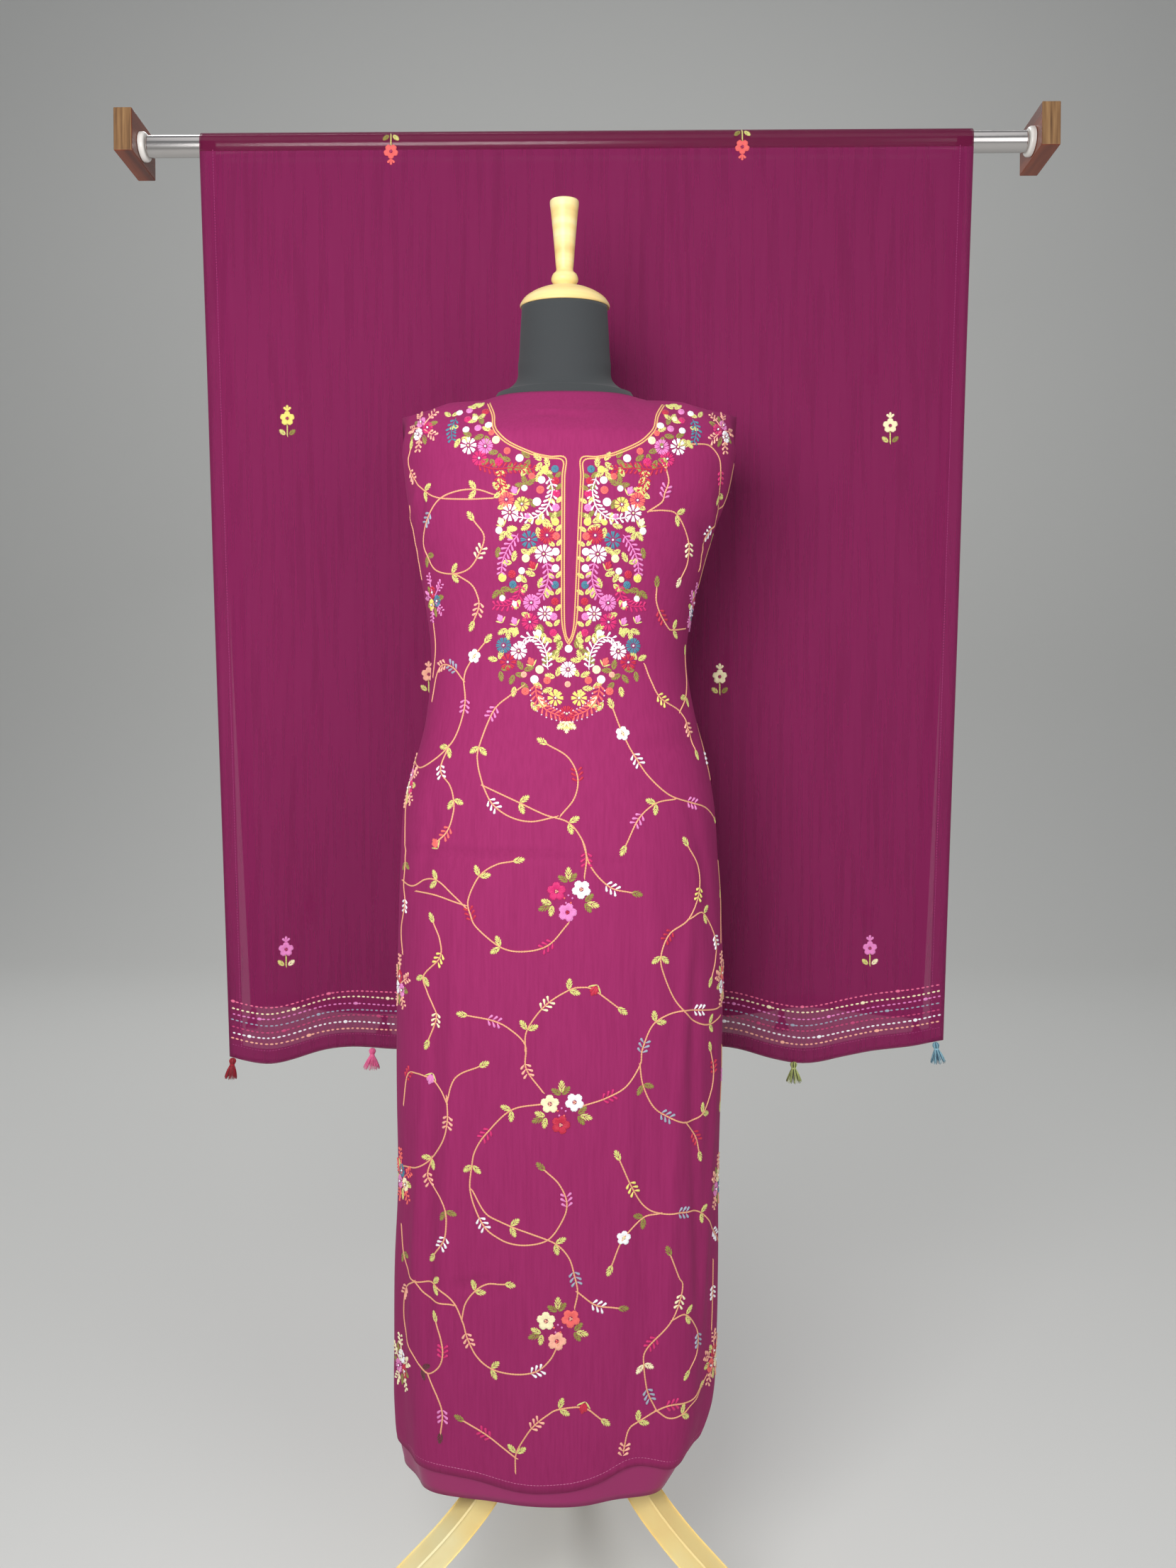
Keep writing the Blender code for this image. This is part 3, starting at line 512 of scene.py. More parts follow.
def make_material(name, colour, roughness, metallic=0.0, sheen=0.0, alpha=1.0,
                  sheen_colour=(255, 255, 255), specular=0.5):
    """A material with a plain Principled shader; colours are sRGB, 0 to 255."""
    made = bpy.data.materials.new(name)
    made.use_nodes = True
    shader = made.node_tree.nodes["Principled BSDF"]
    shader.inputs["Base Color"].default_value = (*linear(colour), 1.0)
    shader.inputs["Roughness"].default_value = roughness
    shader.inputs["Metallic"].default_value = metallic
    shader.inputs["Sheen Weight"].default_value = sheen
    shader.inputs["Sheen Roughness"].default_value = 0.5
    shader.inputs["Sheen Tint"].default_value = (*linear(sheen_colour), 1.0)
    shader.inputs["Alpha"].default_value = alpha
    shader.inputs["Specular IOR Level"].default_value = specular
    return made


def linear(colour):
    """Linear values of an sRGB colour given from 0 to 255."""
    shares = [value / 255.0 for value in colour]
    return [share / 12.92 if share <= 0.04045 else ((share + 0.055) / 1.055) ** 2.4 for share in shares]


def add_bump(material, kind, scale, stretch, strength, distance, detail=2.0):
    """Fine relief on a material: a noise or wave in object space, stretched along each axis."""
    tree = material.node_tree
    place = tree.nodes.new("ShaderNodeTexCoord")
    mapping = tree.nodes.new("ShaderNodeMapping")
    mapping.inputs["Scale"].default_value = stretch
    texture = tree.nodes.new("ShaderNodeTexNoise" if kind == "noise" else "ShaderNodeTexWave")
    texture.inputs["Scale"].default_value = scale
    texture.inputs["Detail"].default_value = detail
    bump = tree.nodes.new("ShaderNodeBump")
    bump.inputs["Strength"].default_value = strength
    bump.inputs["Distance"].default_value = distance
    tree.links.new(place.outputs["Object"], mapping.inputs["Vector"])
    tree.links.new(mapping.outputs["Vector"], texture.inputs["Vector"])
    tree.links.new(texture.outputs["Fac"], bump.inputs["Height"])
    tree.links.new(bump.outputs["Normal"], tree.nodes["Principled BSDF"].inputs["Normal"])


def add_tone(material, colours, scale, stretch, detail=3.0, kind="noise", distortion=0.0):
    """Colour that drifts between two or three tones with a noise or bands in object space."""
    tree = material.node_tree
    place = tree.nodes.new("ShaderNodeTexCoord")
    mapping = tree.nodes.new("ShaderNodeMapping")
    mapping.inputs["Scale"].default_value = stretch
    texture = tree.nodes.new("ShaderNodeTexNoise" if kind == "noise" else "ShaderNodeTexWave")
    texture.inputs["Scale"].default_value = scale
    texture.inputs["Detail"].default_value = detail
    texture.inputs["Distortion"].default_value = distortion
    ramp = tree.nodes.new("ShaderNodeValToRGB")
    while len(ramp.color_ramp.elements) < len(colours):
        ramp.color_ramp.elements.new(0.5)
    for i, (position, colour) in enumerate(colours):
        ramp.color_ramp.elements[i].position = position
        ramp.color_ramp.elements[i].color = (*linear(colour), 1.0)
    tree.links.new(place.outputs["Object"], mapping.inputs["Vector"])
    tree.links.new(mapping.outputs["Vector"], texture.inputs["Vector"])
    tree.links.new(texture.outputs["Fac"], ramp.inputs["Fac"])
    tree.links.new(ramp.outputs["Color"], tree.nodes["Principled BSDF"].inputs["Base Color"])


def grid_object(name, points, side, material, thickness=0.0):
    """A smooth sheet from a grid of points, its outer face towards the side, with thickness added inwards."""
    row_count, column_count = points.shape[:2]
    a = (np.arange(row_count - 1)[:, None] * column_count + np.arange(column_count - 1)).ravel()
    faces = np.stack((a, a + 1, a + 1 + column_count, a + column_count), axis=1)
    if side > 0:
        faces = faces[:, ::-1]
    obj = mesh_object(name, points.reshape(-1, 3), faces.tolist(), material)
    if thickness:
        solidify = obj.modifiers.new("wall", "SOLIDIFY")
        solidify.thickness = thickness
        solidify.offset = -1.0
    return obj


def mesh_object(name, points, faces, material):
    """A smooth-shaded piece that rides on the part's one body."""
    mesh = bpy.data.meshes.new(name)
    mesh.from_pydata(np.asarray(points).tolist(), [], faces)
    mesh.polygons.foreach_set("use_smooth", [True] * len(mesh.polygons))
    mesh.materials.append(material)
    obj = bpy.data.objects.new(name, mesh)
    bpy.context.scene.collection.objects.link(obj)
    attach(obj, "root")
    return obj


def make_kameez():
    """Both lengths of the kameez; returns the front one's rows with and without creases."""
    cloth = make_material("georgette", (150, 39, 96), 0.8, sheen=0.10, sheen_colour=(220, 110, 165),
                          specular=0.2)
    add_tone(cloth, ((0.30, (145, 36, 92)), (0.52, (150, 39, 96)), (0.74, (154, 41, 99))), 380.0,
             (1.0, 1.0, 0.07), 4.0)
    add_bump(cloth, "noise", 900.0, (1.0, 1.0, 0.6), 0.22, 0.0005)
    grids = {}
    for side, word, creases in ((-1, "front", FRONT_CREASES), (1, "back", BACK_CREASES)):
        rows = length_rows(side)
        grids[side] = (rows, creased(rows, side, creases))
        obj = grid_object("kameez_" + word + "_cloth", grids[side][1] + FORM_PLACE, side, cloth, SHELL)
        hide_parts("kameez_" + word)
    return grids


def make_under_band():
    """The satin band of under-cloth below the outer hem."""
    satin = make_material("satin", (154, 42, 100), 0.42, sheen=0.05, sheen_colour=(230, 120, 190),
                          specular=0.35)
    degrees = 90.0 * fine_columns() / SIDE_COLUMNS
    for side, word in ((-1, "front"), (1, "back")):
        low = smooth(UNDER_HEM, front_angle(side, degrees), 1)
        rows = np.array([ring(side, degrees, low + share * (BAND_TOP_Z - low))
                         for share in np.linspace(0.0, 1.0, UNDER_ROWS)])
        shift = np.full(len(rows), UNDER_INSET)
        shift[-1] = UNDER_TOP_INSET
        normals = grid_normals(rows, side)
        normals[..., 2] = 0.0
        rows = rows - normals * shift[:, None, None]
        rows[..., 1] = side * np.maximum(side * rows[..., 1], 0.5 * SEAM_GAP)
        obj = grid_object("under_" + word + "_cloth", rows + FORM_PLACE, side, satin, SHELL)
        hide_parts("underlayer_" + word)


FALL_COLUMNS = 134
FALL_ROWS = 170
ARC_ROWS = 10
HEM_STRIP = 0.018
HEM_STEPS = 5
HEM_BEHIND = 0.0011
HEM_WALL = 0.0005
HEM_END = 0.999
TIGHT_ROWS = 3
CRINKLES = (
    # waves over the half width, height in m, slant, start
    (31.0, 0.00055, 1.1, 0.4),
    (47.0, 0.00045, -1.7, 2.1),
    (19.0, 0.00080, 0.8, 4.0),
    (73.0, 0.00025, 2.3, 1.2),
)


def fall_fold(share):
    """How far the dupatta's folds move it at a share of its half width."""
    total = 0.0
    for centre, depth, half_width in FALL_FOLDS:
        away = np.minimum(np.abs(share - centre) / half_width, 1.0)
        total = total + depth * np.cos(0.5 * math.pi * away) ** 2
    return total


def fall_hem_z(side, x):
    """Height of the lower edge of the front fall, or of the shorter back one."""
    front = smooth(FALL_HEM, x, 1)
    return front if side < 0 else BACK_HEM_Z + BACK_HEM_WAVE * (MIDDLE_HEM_Z - front)


def fall_half(side, down):
    """Half the width of a fall, at a share of its drop."""
    drawn_in = FALL_TOP_HALF - FALL_BOTTOM_HALF + (BACK_FALL_NARROWER if side > 0 else 0.0)
    return FALL_TOP_HALF - drawn_in * down


def crinkle(share, down):
    """Fine upright ripples of the dupatta, strongest in the middle of its drop."""
    total = 0.0
    for waves, height, slant, start in CRINKLES:
        total = total + height * np.sin(waves * share + slant * math.pi * down + start
                                        + 0.9 * np.sin(5.0 * down + 0.3 * waves))
    return total * np.clip(4.0 * down, 0.0, 1.0)


def fall_points(side, share, down):
    """Points of a hanging fall at shares of its half width and of its drop below the rod's centre."""
    x = share * fall_half(side, down)
    y = ROD_Y + side * FALL_RADIUS - fall_fold(-side * share) * down - crinkle(-side * share, down)
    z = ROD_Z + (fall_hem_z(side, x) - ROD_Z) * down
    return np.stack(np.broadcast_arrays(x, y, z), axis=-1)


def make_fall(side, word, sheer, tight, hem_cloth):
    """One fall of the dupatta over the rod, with its turned hems as strips behind it."""
    share = np.linspace(-1.0, 1.0, FALL_COLUMNS)
    rows = [fall_points(side, share, down) for down in np.linspace(1.0, 0.0, FALL_ROWS)]
    for turn in np.linspace(0.0, 0.5 * math.pi, ARC_ROWS)[1:]:
        y = ROD_Y + side * max(FALL_RADIUS * math.cos(turn), FALL_SEAM)
        z = ROD_Z + FALL_RADIUS * math.sin(turn)
        rows.append(np.stack((share * FALL_TOP_HALF, np.full(len(share), y), np.full(len(share), z)),
                             axis=-1))
    fall = grid_object("dupatta_" + word, np.array(rows), side, sheer, SHELL)
    fall.data.materials.append(tight)
    over_rod = np.repeat(np.arange(len(rows) - 1) >= FALL_ROWS - TIGHT_ROWS, FALL_COLUMNS - 1)
    fall.data.polygons.foreach_set("material_index", over_rod.astype(np.int32))
    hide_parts("dupatta_" + word + "_fall")
    strips = []
    inner = 1.0 - HEM_STRIP / FALL_BOTTOM_HALF
    low = HEM_STRIP / (ROD_Z - MIDDLE_HEM_Z)
    down = np.linspace(1.0, 0.0, FALL_ROWS)
    for name, shares, downs in (("left", np.linspace(-HEM_END, -inner, HEM_STEPS), down),
                                ("right", np.linspace(inner, HEM_END, HEM_STEPS), down),
                                ("low", np.linspace(-inner, inner, FALL_COLUMNS),
                                 np.linspace(HEM_END, 1.0 - low, HEM_STEPS))):
        grid = np.array([fall_points(side, shares, d) for d in downs])
        grid[..., 1] -= side * HEM_BEHIND
        strip = grid_object("hem_" + word + "_" + name, grid, side, hem_cloth, HEM_WALL)
        strips.append(strip)
    return fall, strips


def make_dupatta():
    """The dupatta folded over the rod."""
    tint = (210, 80, 150)
    sheer = make_material("sheer_georgette", (138, 35, 89), 0.85, sheen=0.06, alpha=0.72, sheen_colour=tint,
                          specular=0.15)
    add_tone(sheer, ((0.30, (133, 33, 85)), (0.48, (138, 35, 89)), (0.82, (142, 38, 92))), 160.0,
             (1.0, 1.0, 0.05), 3.0)
    add_bump(sheer, "noise", 55.0, (1.0, 1.0, 0.05), 0.20, 0.003, 2.0)
    tight = make_material("sheer_over_rod", (122, 26, 70), 0.8, sheen=0.06, alpha=0.56, sheen_colour=tint,
                          specular=0.15)
    hem_cloth = make_material("sheer_hem", (120, 20, 70), 0.85, sheen=0.06, alpha=0.64, sheen_colour=tint,
                              specular=0.2)
    return {side: make_fall(side, word, sheer, tight, hem_cloth)
            for side, word in ((-1, "front"), (1, "back"))}


def lathe(name, profile, place, material, segments=64, axis="Z", shares=(0.0, 0.25, 0.5, 0.75)):
    """A turned piece from a profile of radius and height, smoothly rounded between its points."""
    fine = []
    for i in range(len(profile) - 1):
        for t in shares:
            before = profile[max(i - 1, 0)]
            a, b = profile[i], profile[i + 1]
            after = profile[min(i + 2, len(profile) - 1)]
            fine.append(tuple(0.5 * (2 * a[k] + (b[k] - before[k]) * t
                                     + (2 * before[k] - 5 * a[k] + 4 * b[k] - after[k]) * t * t
                                     + (3 * a[k] - before[k] - 3 * b[k] + after[k]) * t ** 3)
                                     for k in (0, 1)))
    fine.append(profile[-1])
    turns = np.linspace(0.0, 2.0 * math.pi, segments, endpoint=False)
    points = [(r * math.cos(t), r * math.sin(t), z) for r, z in fine for t in turns]
    if axis == "X":
        points = [(z, x, y) for x, y, z in points]
    faces = [tuple(reversed(range(segments)))]
    for ring_number in range(len(fine) - 1):
        a = ring_number * segments
        for i in range(segments):
            j = (i + 1) % segments
            faces.append((a + i, a + j, a + segments + j, a + segments + i))
    faces.append(tuple(range((len(fine) - 1) * segments, len(fine) * segments)))
    obj = mesh_object(name, np.array(points) + np.array(place), faces, material)
    obj.data.polygons[0].use_smooth = False
    obj.data.polygons[len(faces) - 1].use_smooth = False
    return obj


def wood_material(name, light, middle, dark, stretch, roughness):
    """Wood with long grain along one axis."""
    wood = make_material(name, middle, roughness)
    add_tone(wood, ((0.25, dark), (0.5, middle), (0.75, light)), 9.0, stretch, 5.0)
    return wood


def make_form():
    """Jersey skin of the form with its neck."""
    jersey = make_material("jersey", (58, 61, 63), 0.92, sheen=0.08)
    add_bump(jersey, "noise", 700.0, (1.0, 1.0, 1.0), 0.3, 0.0005)
    loops = None
    for side in (-1, 1):
        rows = length_rows(side)
        normals = grid_normals(rows, side)
        deep = np.clip((SKIN_DEEP_BELOW_Z - rows[..., 2]) / SKIN_DEEP_OVER, 0.0, 1.0)
        inset = (SKIN_INSET + SKIN_DEEPER * deep)[..., None]
        rows = rows - normals * inset
        rows[-1, :, 2] -= SKIN_SHOULDER_DROP * (np.abs(rows[-1, :, 0]) > NECK_HALF_WIDTH)
        rows = rows[rows[:, rows.shape[1] // 2, 2] > SKIN_FROM_Z]
        rows[:, (0, -1), 1] = 0.0
        on_line = np.abs(rows[-1, :, 0]) >= NECK_HALF_WIDTH - 0.004
        rows[-1, on_line, 1] = 0.0
        loops = rows if loops is None else np.concatenate((loops, rows[:, -2:0:-1]), axis=1)
    count = loops.shape[1]
    front = loops.shape[1] // 2 + 1
    base = loops[:1] * np.array((BASE_SHRINK, BASE_SHRINK, 0.0)) + np.array((0.0, 0.0, FORM_BASE_Z))
    grid = np.concatenate((base, loops))
    rows_count = len(grid)
    faces = [tuple(reversed(range(count)))]
    for r in range(rows_count - 1):
        for c in range(count):
            d = (c + 1) % count
            faces.append((r * count + c, r * count + d, (r + 1) * count + d, (r + 1) * count + c))
    points = [tuple(p) for p in grid.reshape(-1, 3)]
    top = (rows_count - 1) * count
    neck_ids = [top + i for i in range(count) if abs(grid[-1, i, 1]) > 0.0 or i in (0, front - 1)]
    neck_ids = [i for i in neck_ids if abs(points[i][0]) <= NECK_HALF_WIDTH]
    angles = [math.atan2(points[i][0] / NECK_HALF_WIDTH, -points[i][1] / NECK_HALF_DEPTH) for i in neck_ids]
    order = sorted(range(len(neck_ids)), key=lambda k: angles[k])
    ring_ids = [neck_ids[k] for k in order]
    turns = [angles[k] for k in order]
    heights = [row[2] for row in NECK_RINGS]
    for height in np.linspace(heights[0], heights[-1], NECK_LOOPS):
        half_width, half_depth, slope = (smooth(NECK_BY_HEIGHT, height, k) for k in (1, 2, 3))
        above = []
        for turn in turns:
            above.append(len(points))
            y = -half_depth * math.cos(turn)
            points.append((half_width * math.sin(turn), y, height + slope * y))
        for i in range(len(ring_ids)):
            j = (i + 1) % len(ring_ids)
            faces.append((ring_ids[i], ring_ids[j], above[j], above[i]))
        ring_ids = above
    faces.append(tuple(ring_ids))
    body = mesh_object("form_jersey_skin", np.array(points) + FORM_PLACE, faces, jersey)
    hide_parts("form_body")


def make_turned_wood():
    """The cap and finial on the neck."""
    wood = wood_material("turned_wood", (255, 240, 184), (254, 224, 150), (236, 196, 124), (0.6, 0.6, 9.0),
                         0.42)
    neck_top = Vector((FORM_X, FORM_Y, NECK_TOP_Z))
    turn = Matrix.Rotation(math.radians(NECK_TILT_DEG), 4, "X")
    for name, profile in (("neck_cap", CAP_PROFILE), ("finial", FINIAL_PROFILE)):
        obj = lathe(name + "_wood", profile, FORM_PLACE, wood)
        obj.data.transform(Matrix.Translation(neck_top) @ turn @ Matrix.Translation(-neck_top))
        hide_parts(name)
    return wood


LEG_EASE = 0.0015
LEG_STEPS = 67


def make_legs():
    """Three curved legs of laminated pale wood, with eased edges."""
    wood = wood_material("leg_wood", (255, 244, 190), (255, 230, 156), (246, 208, 134), (1.0, 1.0, 1.0),
                         0.45)
    fine = np.linspace(0, len(LEG_EDGES) - 1, LEG_STEPS)
    table = [(float(k), *row) for k, row in enumerate(LEG_EDGES)]
    path = np.stack([smooth(table, fine, k) for k in (1, 2, 3, 4)], axis=1)
    half = 0.5 * LEG_WIDTH
    for name, degrees in (("leg_left", -LEG_SPREAD_DEG), ("leg_right", LEG_SPREAD_DEG),
                          ("leg_back", 180.0)):
        angle = math.radians(degrees)
        out = np.array((math.sin(angle), -math.cos(angle), 0.0))
        across = np.array((out[1], -out[0], 0.0))
        points = []
        for upper_distance, upper_z, lower_distance, lower_z in path:
            upper = out * upper_distance + np.array((0.0, 0.0, upper_z))
            lower = out * lower_distance + np.array((0.0, 0.0, max(lower_z, 0.0)))
            down = (lower - upper) / max(np.linalg.norm(lower - upper), 1e-9)
            for corner, h, sign in ((upper, 1.0, -1.0), (upper, 1.0, 1.0), (lower, -1.0, 1.0),
                                    (lower, -1.0, -1.0)):
                a = corner + across * sign * (half - LEG_EASE)
                b = corner + across * sign * half + down * h * LEG_EASE
                points += [a, b] if sign * h < 0 else [b, a]
        faces = []
        for r in range(len(path) - 1):
            for i in range(8):
                j = (i + 1) % 8
                faces.append((r * 8 + i, r * 8 + j, r * 8 + 8 + j, r * 8 + 8 + i))
        faces.append(tuple(range(7, -1, -1)))
        faces.append(tuple(range(8 * len(path) - 8, 8 * len(path))))
        obj = mesh_object(name + "_wood", np.array(points) + FORM_PLACE, faces, wood)
        for face in obj.data.polygons:
            face.use_smooth = False
        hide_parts(name)


THREADS = (
    # name, sRGB colour
    ("stem", (236, 174, 130)),
    ("cord", (240, 186, 122)),
    ("lime", (218, 216, 126)),
    ("olive", (146, 138, 58)),
    ("cream", (250, 240, 196)),
    ("white", (247, 247, 250)),
    ("orchid", (230, 134, 198)),
    ("hot", (212, 30, 112)),
    ("crimson", (196, 30, 66)),
    ("coral", (240, 104, 100)),
    ("peach", (248, 182, 156)),
    ("yellow", (240, 228, 120)),
    ("teal", (70, 128, 152)),
    ("grey", (160, 170, 188)),
    ("brown", (92, 40, 44)),
    ("pearl", (244, 206, 222)),
    ("pink", (236, 110, 150)),
    ("rosy", (196, 62, 116)),
)

